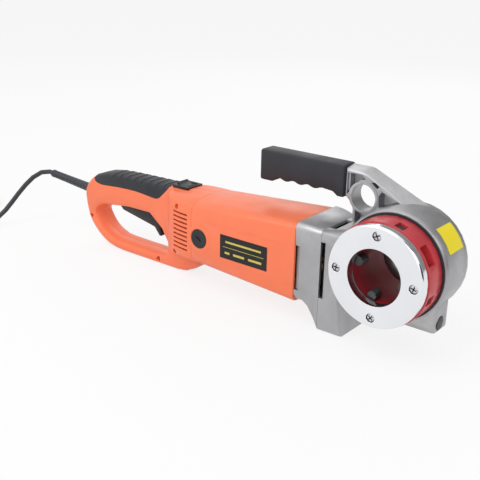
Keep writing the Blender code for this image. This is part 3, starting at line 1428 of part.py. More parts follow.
def housing_ring(share, inset=0, x=None):
    """One section of the motor housing, from its rear (share 0) to its front (share 1)."""
    half = mix(HOUSING_REAR_HALF, HOUSING_FRONT_HALF, share) - inset
    return rounded_ring(
        mix(HOUSING_REAR, HOUSING_FRONT, share) if x is None else x,
        MOTOR_DEPTH - half,
        MOTOR_DEPTH + half,
        mix(HOUSING_REAR_LOW, HOUSING_FRONT_LOW, share) + inset,
        mix(HOUSING_REAR_TOP, HOUSING_FRONT_TOP, share) - inset,
        mix(HOUSING_REAR_CORNER_Y, HOUSING_FRONT_CORNER, share) - inset,
        mix(HOUSING_REAR_CORNER_Z, HOUSING_FRONT_CORNER, share) - inset,
        HOUSING_CROWN,
    )


def bracket_rear():
    """The place of the end bracket's rear face, inside the rear shells."""
    return HOUSING_REAR + PINION_SHOULDER - BRACKET_THICKNESS


def build_end_bracket():
    """The bracket behind the motor with the rear bearing's seat and air holes."""
    rear = bracket_rear()
    end = rear + BRACKET_THICKNESS
    outer = [(point.y, point.z) for point in housing_ring(0, HOUSING_WALL + 3 * GAP)]
    bracket = slab("X", outer, rear, end)
    seat_end = rear + GAP + REAR_BEARING_LENGTH + GAP
    cut(bracket, rod("X", MOTOR, rear - OVERRUN, seat_end, REAR_BEARING_RADIUS + GAP, ROUND_STEPS // 2))
    cut(bracket, rod("X", MOTOR, rear - OVERRUN, end + OVERRUN, BRACKET_HOLE, ROUND_STEPS // 2))
    for index in range(BRACKET_VENTS):
        y, z = around(BRACKET_VENT_CIRCLE, math.radians(360) * (index + 0.5) / BRACKET_VENTS)
        centre = (MOTOR_DEPTH + y, LAYSHAFT_Z + z)
        cut(bracket, rod("X", centre, rear - OVERRUN, end + OVERRUN, BRACKET_VENT))
    part(bracket, "motor_end_bracket", PLASTIC)


def build_stator():
    """The field winding's ring, held by the housing's two inner ribs."""
    part(ring_of("X", MOTOR, STATOR_BORE, STATOR_RADIUS, STATOR_REAR, STATOR_FRONT), "stator", WINDING)


def housing_cavity():
    """The space inside the motor housing, narrowed to the stator at two ribs."""
    cavity = loft([housing_ring(0, HOUSING_WALL, HOUSING_REAR - OVERRUN), housing_ring(0, HOUSING_WALL),
                   housing_ring(1, HOUSING_WALL), housing_ring(1, HOUSING_WALL, HOUSING_FRONT + OVERRUN)])
    reach = HOUSING_FRONT_HALF + OVERRUN
    for rib in (CORE_REAR, CORE_FRONT - HOUSING_RIB):
        low = (rib, MOTOR_DEPTH - reach, HOUSING_FRONT_LOW - OVERRUN)
        cut(cavity, box(low, (rib + HOUSING_RIB, MOTOR_DEPTH + reach, HOUSING_FRONT_TOP + OVERRUN)))
    return join(cavity, rod("X", MOTOR, STATOR_REAR, STATOR_FRONT, STATOR_RADIUS + GAP, ROUND_STEPS))


BRUSH_PLACE = (BRUSH_X, LAYSHAFT_Z)


def build_housing():
    """The moulded motor housing with a boss round each brush cap."""
    housing = loft([housing_ring(0), housing_ring(1)])
    disc = rod("Y", BRUSH_PLACE, CAP_BOSS_FACE, CAP_BOSS_FACE + HOUSING_WALL, CAP_BOSS, ROUND_STEPS)
    join(housing, copied(disc), mirrored(disc))
    cut(housing, housing_cavity())
    boss_start = CAP_BOSS_FACE + HOUSING_WALL / 2
    inner = rod("Y", BRUSH_PLACE, boss_start, CAP_INNER_BOSS_END, CAP_INNER_BOSS, ROUND_STEPS)
    join(housing, copied(inner), mirrored(inner))
    seat = CAP_FACE + CAP_HEAD + GAP
    bore = rod("Y", BRUSH_PLACE, CAP_FACE - OVERRUN, seat, CAP_RADIUS + GAP, ROUND_STEPS)
    stem = rod("Y", BRUSH_PLACE, CAP_FACE - OVERRUN, CAP_INNER_BOSS_END + OVERRUN, CAP_STEM + GAP)
    cut(housing, copied(bore), mirrored(bore), copied(stem), mirrored(stem))
    part(housing, "motor_housing", PAINTED)


def build_brushes():
    """Both slotted brush caps and both carbon brushes."""
    head_end = CAP_FACE + CAP_HEAD
    cap = rod("Y", BRUSH_PLACE, CAP_FACE, head_end, CAP_RADIUS, ROUND_STEPS)
    join(cap, rod("Y", BRUSH_PLACE, head_end - CAP_HEAD / 2, CAP_STEM_END, CAP_STEM))
    half_x = BRUSH_LENGTH / 2
    half_z = BRUSH_WIDTH / 2
    pocket = BRUSH_OUTER - GAP
    cut(cap, box((BRUSH_X - half_x - GAP, pocket, LAYSHAFT_Z - half_z - GAP),
                 (BRUSH_X + half_x + GAP, CAP_STEM_END + OVERRUN, LAYSHAFT_Z + half_z + GAP)))
    cut(cap, box((BRUSH_X - CAP_SLOT_LENGTH, CAP_FACE - OVERRUN, LAYSHAFT_Z - CAP_SLOT_WIDTH / 2),
                 (BRUSH_X + CAP_SLOT_LENGTH, CAP_FACE + CAP_SLOT_DEPTH, LAYSHAFT_Z + CAP_SLOT_WIDTH / 2)))
    contact = MOTOR_DEPTH - COMMUTATOR_RADIUS - GAP
    brush = box((BRUSH_X - half_x, BRUSH_OUTER, LAYSHAFT_Z - half_z), (BRUSH_X + half_x, contact, LAYSHAFT_Z + half_z))
    part(copied(cap), "brush_cap_near", PLASTIC)
    part(mirrored(cap), "brush_cap_far", PLASTIC)
    part(copied(brush), "brush_near", DARK)
    part(mirrored(brush), "brush_far", DARK)


# Rear handle


def handle_size():
    """The rectangle that the handle's outlines are laid out in."""
    return (HANDLE_REAR, FLOOR), (HOUSING_REAR - GAP - HANDLE_REAR, HANDLE_TOP - FLOOR)


def handle_solid(inset, half, rim=0):
    """The D handle, shrunk all round by an inset, with its hand hole."""
    outer = [(max(x, HANDLE_REAR), max(z, FLOOR)) for x, z in eased(laid_out(HANDLE_SHARES, *handle_size()))]
    outer = without_straight_points(outer + laid_out(HANDLE_JOINT_SHARES, *handle_size()))
    hole = eased(laid_out(HANDLE_HOLE_SHARES, *handle_size()), closed=True)
    if inset:
        outer = grown(outer, -inset)
        hole = grown(hole, inset)
    return slab("Y", outer, MOTOR_DEPTH - half, MOTOR_DEPTH + half, rim=rim, holes=[hole])


def bell_ring(share, inset=0, ahead=0):
    """One section of the bell that narrows from the motor housing into the handle."""
    spread = HOUSING_REAR_HALF - HANDLE_HALF
    half = HANDLE_HALF + spread * math.sqrt(1 - share ** 2) - inset
    return rounded_ring(
        HOUSING_REAR - GAP - (BELL_LENGTH - inset) * share + ahead,
        MOTOR_DEPTH - half,
        MOTOR_DEPTH + half,
        mix(HOUSING_REAR_LOW, BELL_END_LOW, share) + inset,
        mix(HOUSING_REAR_TOP, BELL_END_TOP, share) - inset,
        mix(HOUSING_REAR_CORNER_Y, BELL_END_CORNER, share) - inset,
        mix(HOUSING_REAR_CORNER_Z, BELL_END_CORNER, share) - inset,
        HOUSING_CROWN * (1 - share),
    )


def shell_screw_places():
    """The places of the four screws that close the shells."""
    return laid_out(SHELL_SCREW_PLACES_SHARES, *handle_size())


def handle_cavity():
    """The space inside the shells, less the columns that the screws run through."""
    cavity = handle_solid(HANDLE_WALL, HANDLE_HALF - HANDLE_WALL)
    bell = loft([bell_ring(0, BELL_WALL, OVERRUN)] + [bell_ring(share, BELL_WALL) for share in BELL_SHARES])
    join(cavity, bell)
    for place in shell_screw_places():
        cut(cavity, rod("Y", place, MOTOR_DEPTH - HOUSING_FRONT_HALF, MOTOR_DEPTH + HOUSING_FRONT_HALF, COLUMN_RADIUS))
    return cavity


def shell_screw_holes():
    """Stepped holes for the shell screws, deep from the near side."""
    holes = []
    start = MOTOR_DEPTH - HOUSING_FRONT_HALF - OVERRUN
    for place in shell_screw_places():
        seat = SHELL_SCREW_SEAT + SCREW_HEAD_DEPTH + GAP
        hole = rod("Y", place, start, seat, SHELL_SCREW_HEAD + GAP, FASTENER_STEPS)
        end = SHELL_SCREW_SEAT + SHELL_SCREW_LENGTH + GAP
        holes.append(join(hole, rod("Y", place, SHELL_SCREW_SEAT, end, SHELL_SCREW_SHANK + GAP, FASTENER_STEPS)))
    return holes


def louvres():
    """The slots on both sides of the bell."""
    slots = []
    for index in range(LOUVRE_COUNT):
        top = LOUVRE_TOP - index * LOUVRE_PITCH
        low = (LOUVRE_REAR, MOTOR_DEPTH - HOUSING_FRONT_HALF - OVERRUN, top - LOUVRE_HEIGHT)
        slot = box(low, (LOUVRE_FRONT, MOTOR_DEPTH - HANDLE_HALF, top))
        slots.extend((copied(slot), mirrored(slot)))
    return slots


def trigger_outline():
    """The trigger from the side."""
    places = laid_out(TRIGGER_SHARES, (TRIGGER_PIVOT_X, TRIGGER_PIVOT_Z), (TRIGGER_LENGTH, TRIGGER_HEIGHT))
    return softened(places, TRIGGER_CORNER)


TRIGGER_PIVOT = (TRIGGER_PIVOT_X, TRIGGER_PIVOT_Z)


def trigger_slots():
    """The room that the trigger sweeps through the handle's wall, and its pin's seats."""
    half = TRIGGER_WIDTH / 2 + 2 * GAP
    rest = [Vector(point) - Vector(TRIGGER_PIVOT) for point in trigger_outline()]
    pulled = [Matrix.Rotation(TRIGGER_PULL, 2) @ point for point in rest]
    swept = rest + pulled
    hull = [tuple(swept[i] + Vector(TRIGGER_PIVOT)) for i in convex_hull_2d(swept)]
    slots = [slab("Y", grown(hull, TRIGGER_SLOT_GAP), MOTOR_DEPTH - half, MOTOR_DEPTH + half)]
    reach = HANDLE_HALF - HANDLE_WALL + TRIGGER_PIN_SEAT + GAP
    slots.append(rod("Y", TRIGGER_PIVOT, MOTOR_DEPTH - reach, MOTOR_DEPTH + reach, TRIGGER_PIN + GAP))
    return slots


def bezel_pocket():
    """The pocket for the rocker's bezel and the hole for its body."""
    length = BEZEL_LENGTH / 2 + GAP
    width = BEZEL_WIDTH / 2 + GAP
    low = (ROCKER_X - length, MOTOR_DEPTH - width, BEZEL_LOW - GAP)
    pocket = box(low, (ROCKER_X + length, MOTOR_DEPTH + width, BEZEL_HIGH + OVERRUN))
    length = BEZEL_BODY_LENGTH / 2 + GAP
    width = BEZEL_BODY_WIDTH / 2 + GAP
    low = (ROCKER_X - length, MOTOR_DEPTH - width, BEZEL_BODY_LOW - GAP)
    return join(pocket, box(low, (ROCKER_X + length, MOTOR_DEPTH + width, BEZEL_HIGH)))


def tilted_lead(solid):
    """Tilt a piece of the lead's gland to the angle at which the lead leaves the handle."""
    return spun(solid, "Y", BOOT_TILT, (HANDLE_REAR, LEAD_Z))


def boot_hole():
    """The hole and the collar seat for the strain relief."""
    centre = (MOTOR_DEPTH, LEAD_Z)
    inner = HANDLE_REAR + BOOT_SETBACK
    collar = inner - BOOT_COLLAR_LENGTH - GAP
    hole = rod("X", centre, HANDLE_REAR - OVERRUN, inner + OVERRUN, BOOT_RADIUS + GAP, ROUND_STEPS // 2)
    join(hole, rod("X", centre, collar, inner + OVERRUN, BOOT_COLLAR + GAP, ROUND_STEPS // 2))
    return tilted_lead(hole)


def pad_zone(shrink=0):
    """The prism that bounds the grip pad's recess."""
    outline = eased(laid_out(PAD_SHARES, *handle_size()), closed=True)
    reach = HANDLE_HALF + OVERRUN
    return slab("Y", grown(outline, -shrink), MOTOR_DEPTH - reach, MOTOR_DEPTH + reach)


def build_rear_shells():
    """The clamshell halves of the rear handle."""
    shell = handle_solid(0, HANDLE_HALF, HANDLE_RIM)
    join(shell, loft([bell_ring(share) for share in BELL_SHARES]))
    cut(shell, handle_cavity())
    cut(shell, *louvres(), *shell_screw_holes(), *trigger_slots(), bezel_pocket(), boot_hole())
    notch_end = CAP_BOSS_FACE + HOUSING_WALL + GAP
    notch = rod("Y", BRUSH_PLACE, CAP_BOSS_FACE - OVERRUN, notch_end, CAP_BOSS + GAP, ROUND_STEPS)
    cut(shell, copied(notch), mirrored(notch))
    depth = PAD_THICKNESS + GAP
    recess = cut(pad_zone(), handle_solid(depth, HANDLE_HALF - depth, HANDLE_RIM - depth))
    cut(shell, recess)
    near = (HOUSING_REAR + OVERRUN, MOTOR_DEPTH - GAP / 2, HANDLE_TOP + OVERRUN)
    far = (HOUSING_REAR + OVERRUN, MOTOR_DEPTH + HOUSING_FRONT_HALF, HANDLE_TOP + OVERRUN)
    rear = HANDLE_REAR - OVERRUN
    low = FLOOR - OVERRUN
    front_half = box((rear, MOTOR_DEPTH - HOUSING_FRONT_HALF, low), (near[0], MOTOR_DEPTH + GAP / 2, near[2]))
    far_half = cut(copied(shell), front_half)
    near_half = cut(shell, box((rear, near[1], low), far))
    part(near_half, "rear_shell_near", PAINTED)
    part(far_half, "rear_shell_far", PAINTED)


def build_grip_pad():
    """The rubber pad over the top of the handle, with its cross ridges."""
    pad = keep(pad_zone(GAP), handle_solid(0, HANDLE_HALF, HANDLE_RIM))
    reach = HANDLE_HALF + OVERRUN
    (left, _), (length, _) = handle_size()
    ridges = None
    for index in range(PAD_RIDGES):
        share = mix(PAD_RIDGE_FIRST_SHARE, PAD_RIDGE_LAST_SHARE, index / (PAD_RIDGES - 1))
        x = left + length * share
        low = (x - PAD_RIDGE_WIDTH / 2, MOTOR_DEPTH - reach, HANDLE_TOP - PAD_RIDGE_DROP)
        ridge = box(low, (x + PAD_RIDGE_WIDTH / 2, MOTOR_DEPTH + reach, HANDLE_TOP + OVERRUN))
        ridges = ridge if ridges is None else join(ridges, ridge)
    raised = -PAD_RIDGE_HEIGHT
    keep(ridges, handle_solid(raised, HANDLE_HALF - raised, HANDLE_RIM - raised))
    keep(ridges, pad_zone(PAD_RIDGE_EDGE))
    join(pad, ridges)
    cut(pad, handle_solid(PAD_THICKNESS, HANDLE_HALF - PAD_THICKNESS, HANDLE_RIM - PAD_THICKNESS))
    cut(pad, bezel_pocket())
    part(pad, "grip_pad", RUBBER)


def build_shell_screws():
    """Four screws in the shells' recessed holes."""
    for index, place in enumerate(shell_screw_places(), 1):
        screw = screw_solid("Y", place, SHELL_SCREW_SEAT, 1, SHELL_SCREW_HEAD, SHELL_SCREW_SHANK, SHELL_SCREW_LENGTH)
        part(screw, f"shell_screw_{index}", DARK)


# Switches


def build_rocker():
    """The forward and reverse rocker, tipped with its rear end up, and its bezel."""
    half_x = BEZEL_LENGTH / 2
    half_y = BEZEL_WIDTH / 2
    bezel = box((ROCKER_X - half_x, MOTOR_DEPTH - half_y, BEZEL_LOW), (ROCKER_X + half_x, MOTOR_DEPTH + half_y, BEZEL_HIGH))
    half_x = BEZEL_BODY_LENGTH / 2
    half_y = BEZEL_BODY_WIDTH / 2
    low = (ROCKER_X - half_x, MOTOR_DEPTH - half_y, BEZEL_BODY_LOW)
    join(bezel, box(low, (ROCKER_X + half_x, MOTOR_DEPTH + half_y, BEZEL_HIGH - GAP)))
    half_x = ROCKER_ROOM_LENGTH / 2
    half_y = ROCKER_WIDTH / 2 + GAP
    floor = ROCKER_AXIS_Z - ROCKER_ROOT - 4 * GAP
    cut(bezel, box((ROCKER_X - half_x, MOTOR_DEPTH - half_y, floor), (ROCKER_X + half_x, MOTOR_DEPTH + half_y, BEZEL_HIGH + OVERRUN)))
    centre = (ROCKER_X, ROCKER_AXIS_Z)
    reach = ROCKER_WIDTH / 2 + ROCKER_PIN_REACH
    cut(bezel, rod("Y", centre, MOTOR_DEPTH - reach - GAP, MOTOR_DEPTH + reach + GAP, ROCKER_PIN + GAP))
    part(bezel, "rocker_bezel", PLASTIC)
    half = ROCKER_LENGTH / 2
    tops = [(-half * (1 - 2 * step / 8), ROCKER_DISH + (ROCKER_HORN - ROCKER_DISH) * (1 - 2 * step / 8) ** 2)
            for step in range(9)]
    outline = tops + [(half, -ROCKER_DISH), (half / 2, -ROCKER_ROOT), (-half / 2, -ROCKER_ROOT), (-half, -ROCKER_DISH)]
    outline = [(ROCKER_X + x, ROCKER_AXIS_Z + z) for x, z in outline]
    rocker = slab("Y", outline, MOTOR_DEPTH - ROCKER_WIDTH / 2, MOTOR_DEPTH + ROCKER_WIDTH / 2)
    join(rocker, rod("Y", centre, MOTOR_DEPTH - reach, MOTOR_DEPTH + reach, ROCKER_PIN))
    part(spun(rocker, "Y", ROCKER_TILT, centre), "rocker", PLASTIC, ROCKER_AXIS)


def build_trigger():
    """The trigger, its pin and the switch that it presses."""
    half = TRIGGER_WIDTH / 2
    trigger = slab("Y", trigger_outline(), MOTOR_DEPTH - half, MOTOR_DEPTH + half, rim=TRIGGER_RIM)
    cut(trigger, rod("Y", TRIGGER_PIVOT, MOTOR_DEPTH - half - OVERRUN, MOTOR_DEPTH + half + OVERRUN, TRIGGER_PIN + GAP))
    part(trigger, "trigger", PLASTIC, TRIGGER_AXIS)
    reach = HANDLE_HALF - HANDLE_WALL + TRIGGER_PIN_SEAT
    part(rod("Y", TRIGGER_PIVOT, MOTOR_DEPTH - reach, MOTOR_DEPTH + reach, TRIGGER_PIN), "trigger_pin", STEEL)
    half = HANDLE_HALF - HANDLE_WALL - GAP
    low = (SWITCH_REAR, MOTOR_DEPTH - half, SWITCH_LOW)
    switch = box(low, (SWITCH_REAR + SWITCH_LENGTH, MOTOR_DEPTH + half, SWITCH_HIGH))
    join(switch, rod("Z", (PLUNGER_X, MOTOR_DEPTH), PLUNGER_LOW, SWITCH_LOW + OVERRUN, PLUNGER_RADIUS, FASTENER_STEPS))
    part(switch, "trigger_switch", PLASTIC)


# Mains lead


def tube(points, resolution):
    """A length of cord through a list of points."""
    curve = bpy.data.curves.new("cord", "CURVE")
    curve.dimensions = "3D"
    curve.bevel_depth = CORD_RADIUS
    curve.bevel_resolution = resolution
    curve.use_fill_caps = True
    spline = curve.splines.new("POLY")
    spline.points.add(len(points) - 1)
    for point, place in zip(spline.points, points):
        point.co = (*place, 1)
    obj = bpy.data.objects.new("cord", curve)
    TOOLS.objects.link(obj)
    return bake(obj)


def spaced(points, spacing):
    """Points at about equal spacing along a smooth curve through a route, both ends kept."""
    fine = [Vector(point) for point in eased(points, steps=16)]
    lengths = [0]
    for before, after in zip(fine, fine[1:]):
        lengths.append(lengths[-1] + (after - before).length)
    count = max(round(lengths[-1] / spacing), 1)
    result = [fine[0]]
    index = 0
    for step in range(1, count):
        goal = lengths[-1] * step / count
        while lengths[index + 1] < goal:
            index += 1
        share = (goal - lengths[index]) / (lengths[index + 1] - lengths[index])
        result.append(fine[index].lerp(fine[index + 1], share))
    return result + [fine[-1]]


COIL_LEVEL = FLOOR + TIE_THICKNESS + GAP + CORD_RADIUS
CORD_LEVEL = FLOOR + CORD_RADIUS + WELD


def coil_radius(turn):
    """The coil's radius after a number of turns: it spirals in, then out again."""
    return COIL_RADIUS - COIL_PITCH * min(turn, COIL_TURNS - turn)


def coil_point(turn):
    """A point on the coil, which climbs a layer in the half turn where the spiral reverses."""
    angle = COIL_START_ANGLE - math.radians(360) * turn
    climb = min(max((turn - COIL_TURNS / 2) / COIL_CLIMB_TURNS + 0.5, 0), 1)
    rise = COIL_PITCH * climb * climb * (3 - 2 * climb)
    radius = coil_radius(turn)
    centre = [MM * value for value in COIL_CENTRE]
    return Vector((centre[0] + radius * math.cos(angle), centre[1] + radius * math.sin(angle), COIL_LEVEL + rise))


def coil_points():
    """The coil's winding, with a straight run of one diameter at each end."""
    steps = COIL_TURNS * COIL_STEPS
    loops = [coil_point(COIL_TURNS * step / steps) for step in range(steps + 1)]
    first = (loops[0] - loops[1]).normalized() * 2 * CORD_RADIUS
    last = (loops[-1] - loops[-2]).normalized() * 2 * CORD_RADIUS
    return [loops[0] + first] + loops + [loops[-1] + last]


def least_gap(points):
    """The least gap between turns of a winding, measured between its points and runs."""
    least = math.inf
    for i, here in enumerate(points):
        for j in range(len(points) - 1):
            if abs(i - j) < COIL_STEPS // 3:
                continue
            start = points[j]
            run = points[j + 1] - start
            share = min(max((here - start).dot(run) / run.length_squared, 0), 1)
            least = min(least, (start + run * share - here).length)
    return least - 2 * CORD_RADIUS


def clear_of_floor(points):
    """Lift points that a smooth curve would carry below the floor."""
    return [Vector((point.x, point.y, max(point.z, CORD_LEVEL))) for point in points]


def cord_run(start, places, end):
    """A free stretch of cord with a straight run at each end; places is its route in millimetres."""
    route = [Vector(place) * MM for place in places]
    middle = clear_of_floor(spaced([start[1]] + route + [end[0]], CORD_SPACING))
    return [start[0]] + middle + [end[1]]


def boot_axis(distance):
    """A point on the strain relief's axis, a distance behind its inner end."""
    start = HANDLE_REAR + BOOT_SETBACK - distance
    turn = Matrix.Rotation(BOOT_TILT, 3, "Y")
    pivot = Vector((HANDLE_REAR, MOTOR_DEPTH, LEAD_Z))
    return pivot + turn @ (Vector((start, MOTOR_DEPTH, LEAD_Z)) - pivot)


def plug_point(distance, side=0):
    """A point along the plug's axis, behind its cord end."""
    along = Vector((math.cos(PLUG_ANGLE), math.sin(PLUG_ANGLE), 0))
    across = Vector((-along.y, along.x, 0))
    start = Vector((PLUG_PLACE[0] * MM, PLUG_PLACE[1] * MM, FLOOR + PLUG_RADIUS + WELD))
    return start + along * distance + across * side


def build_strain_relief():
    """The tapered boot with its collar inside the shells."""
    inner = HANDLE_REAR + BOOT_SETBACK
    collar = inner - BOOT_COLLAR_LENGTH
    end = inner - BOOT_LENGTH
    profile = [(0, end), (BOOT_END_RADIUS, end), (BOOT_RADIUS, HANDLE_REAR - GAP), (BOOT_RADIUS, collar),
               (BOOT_COLLAR, collar), (BOOT_COLLAR, inner), (0, inner)]
    boot = turned("X", (MOTOR_DEPTH, LEAD_Z), profile[::-1], steps=ROUND_STEPS // 2)
    part(tilted_lead(boot), "strain_relief", RUBBER)


def build_cord():
    """The free cord, the coil with its tie, the tail and the plug."""
    winding = coil_points()
    print(f"least gap in the coil: {least_gap(winding) / MM:.2f} mm")
    lead = (winding[0] - winding[1]).normalized()
    start = [boot_axis(BOOT_LENGTH + GAP), boot_axis(BOOT_LENGTH + GAP + CORD_SPACING / 2)]
    end = [winding[0] + lead * (GAP + CORD_SPACING / 2), winding[0] + lead * GAP]
    part(tube(cord_run(start, CORD_ROUTE, end), 3), "cord", RUBBER)
    part(tube(winding, 1), "cord_coil", RUBBER)
    lead = (winding[-1] - winding[-2]).normalized()
    start = [winding[-1] + lead * GAP, winding[-1] + lead * (GAP + CORD_SPACING / 2)]
    end = [plug_point(-GAP - CORD_SPACING / 2), plug_point(-GAP)]
    part(tube(cord_run(start, TAIL_ROUTE, end), 3), "cord_tail", RUBBER)


def build_cord_tie():
    """The strap round all the coil's turns, which rest on it."""
    first = COIL_RADIUS - COIL_PITCH * COIL_TURNS / 2
    inner = first - CORD_RADIUS - TIE_ROOM
    outer = COIL_RADIUS + CORD_RADIUS + TIE_ROOM
    low = FLOOR + TIE_THICKNESS
    high = COIL_LEVEL + COIL_PITCH + CORD_RADIUS + GAP
    opening = rectangle((inner, low), (outer, high))
    tie = slab("Y", grown(opening, TIE_THICKNESS), -TIE_WIDTH / 2, TIE_WIDTH / 2, holes=[opening])
    place = Matrix.Translation((COIL_CENTRE[0] * MM, COIL_CENTRE[1] * MM, 0))
    part(moved(tie, place @ Matrix.Rotation(TIE_ANGLE, 4, "Z")), "cord_tie", PLASTIC)


def build_plug():
    """The plug with its two round pins."""
    shoulder = PLUG_LENGTH * PLUG_SHOULDER_SHARE
    profile = [(0, PLUG_LENGTH), (PLUG_RADIUS, PLUG_LENGTH), (PLUG_RADIUS, shoulder), (PLUG_NECK, 0), (0, 0)]
    plug = turned("X", (0, 0), profile, steps=ROUND_STEPS // 2)
    for side in (-PLUG_PIN_SPACING, PLUG_PIN_SPACING):
        start = PLUG_LENGTH - OVERRUN
        join(plug, rod("X", (side, 0), start, PLUG_LENGTH + PLUG_PIN_LENGTH, PLUG_PIN, FASTENER_STEPS))
    place = Matrix.Translation(plug_point(0)) @ Matrix.Rotation(PLUG_ANGLE, 4, "Z")
    part(moved(plug, place), "plug", RUBBER)


# The whole tool

build_cover_plate()
build_plate_screws()
build_drum()
build_dies()
build_drive_ring()
build_bushes()
build_rear_cover()
build_cover_screws()
build_bevel_gear()
build_layshaft()
build_gear_head()
build_seam_liner()
build_sleeve()
build_lock_button()
build_gear_case()
build_vent_baffle()
build_motor_shaft()
build_armature()
build_fan()
build_motor_bearings()
build_end_bracket()
build_stator()
build_housing()
build_brushes()
build_rear_shells()
build_grip_pad()
build_shell_screws()
build_rocker()
build_trigger()
build_strain_relief()
build_cord()
build_cord_tie()
build_plug()
bpy.context.view_layer.update()
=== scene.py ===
"""Electric pipe threader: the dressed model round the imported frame, with its studio and camera."""

from __future__ import annotations

import json
import logging
import math
from collections.abc import Callable
from dataclasses import dataclass
from enum import Enum

import bpy
from mathutils import Matrix, Vector

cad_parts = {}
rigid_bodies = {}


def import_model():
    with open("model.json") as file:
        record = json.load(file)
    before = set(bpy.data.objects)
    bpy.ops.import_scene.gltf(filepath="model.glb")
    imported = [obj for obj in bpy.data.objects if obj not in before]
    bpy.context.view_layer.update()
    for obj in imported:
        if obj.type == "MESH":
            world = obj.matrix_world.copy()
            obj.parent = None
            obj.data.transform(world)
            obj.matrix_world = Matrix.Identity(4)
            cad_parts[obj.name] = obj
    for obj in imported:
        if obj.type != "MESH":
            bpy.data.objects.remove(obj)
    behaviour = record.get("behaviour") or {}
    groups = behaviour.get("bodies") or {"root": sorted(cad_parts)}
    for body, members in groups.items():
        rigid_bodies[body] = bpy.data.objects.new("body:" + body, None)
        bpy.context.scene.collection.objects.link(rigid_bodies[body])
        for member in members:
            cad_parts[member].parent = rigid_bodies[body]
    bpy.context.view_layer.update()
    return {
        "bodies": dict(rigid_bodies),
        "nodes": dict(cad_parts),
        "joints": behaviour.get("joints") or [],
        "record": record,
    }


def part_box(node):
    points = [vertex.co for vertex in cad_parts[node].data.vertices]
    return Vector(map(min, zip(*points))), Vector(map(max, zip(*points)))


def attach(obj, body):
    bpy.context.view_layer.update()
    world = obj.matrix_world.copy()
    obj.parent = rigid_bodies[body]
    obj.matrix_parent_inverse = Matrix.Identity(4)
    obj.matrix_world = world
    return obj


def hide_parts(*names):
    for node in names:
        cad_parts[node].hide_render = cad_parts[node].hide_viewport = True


log = logging.getLogger("pipe_threader")

Triple = tuple[float, float, float]
Pair = tuple[float, float]
Edges = tuple[float, float, float, float]
Piece = bpy.types.Object
Socket = bpy.types.NodeSocket

MM = 0.001
DATUM_MM = Vector((229.65, -55.9, 96.0))
"""Where the die head's axis meets the cover plate's face, in the frame."""
INWARD = Vector((0, 1, 0))
"""From the front of the tool to its back, along the die head's axis."""
OVERRUN = 2.0
"""How far a cutter starts outside the face that it cuts, in millimetres."""
MERGE_DISTANCE = 1e-6
FLAT_DEGREES = 0.4
"""Packed triangles that meet at less than this are one face."""


def at(x: float, y: float, z: float) -> Vector:
    """Turn a place measured from the die head's axis, in millimetres, into the frame's metres."""
    return (Vector((x, y, z)) + DATUM_MM) * MM


# Finishes

COAT_ROUGHNESS = 0.12
PATCH_SCALE = 28.0
PATCH_DETAIL = 4.0
GLOSS_SCALE = 45.0
GLOSS_DETAIL = 6.0
GLOSS_LEAST = 0.02
WEAR_SCALE = 160.0
WEAR_DETAIL = 5.0
WEAR_GAIN = 1.6
WEAR_LIFT = 0.05
EDGE_POINTINESS = (0.52, 0.62)
NOISE_SPAN = (0.3, 0.7)
"""The noise values at which a patchy finish reaches its two ends."""
PIT_SCALE_SHARE = 0.6
BUMP_STRENGTH = 0.35


class Grain(Enum):
    """The kinds of fine surface texture."""

    MOULDED = "moulded"
    CAST = "cast"
    TURNED = "turned"
    PLAIN = "plain"


GRAIN_DETAIL = {Grain.MOULDED: 5.0, Grain.CAST: 5.0, Grain.TURNED: 3.0, Grain.PLAIN: 2.0}
EVEN = (1, 1, 1)
DRAWN_OUT = (1, 0.08, 1)
"""How a turned finish is stretched along the die head's axis."""


@dataclass(frozen=True)
class Shading:
    """A node tree at work, with short ways to add nodes and to join them."""

    tree: bpy.types.NodeTree

    def add(self, kind: str, values: dict[str, float | Triple] | None = None) -> bpy.types.Node:
        """Add a node.

        Args:
            kind: The node's type, without the ShaderNode in front.
            values: What some of its inputs are set to.

        Returns:
            The node.
        """
        node = self.tree.nodes.new(f"ShaderNode{kind}")
        for name, value in (values or {}).items():
            node.inputs[name].default_value = value
        return node

    def join(self, source: Socket, goal: Socket) -> None:
        """Link an output to an input."""
        self.tree.links.new(source, goal)

    def seen(self) -> Socket:
        """Tell rays that show the background from rays that light the object.

        Returns:
            A socket that is 1 for camera, glossy and transmission rays.
        """
        path = self.add("LightPath")
        last = path.outputs["Is Camera Ray"]
        for kind in ("Is Glossy Ray", "Is Transmission Ray"):
            either = self.add("Math")
            either.operation = "MAXIMUM"
            self.join(last, either.inputs[0])
            self.join(path.outputs[kind], either.inputs[1])
            last = either.outputs["Value"]
        return last


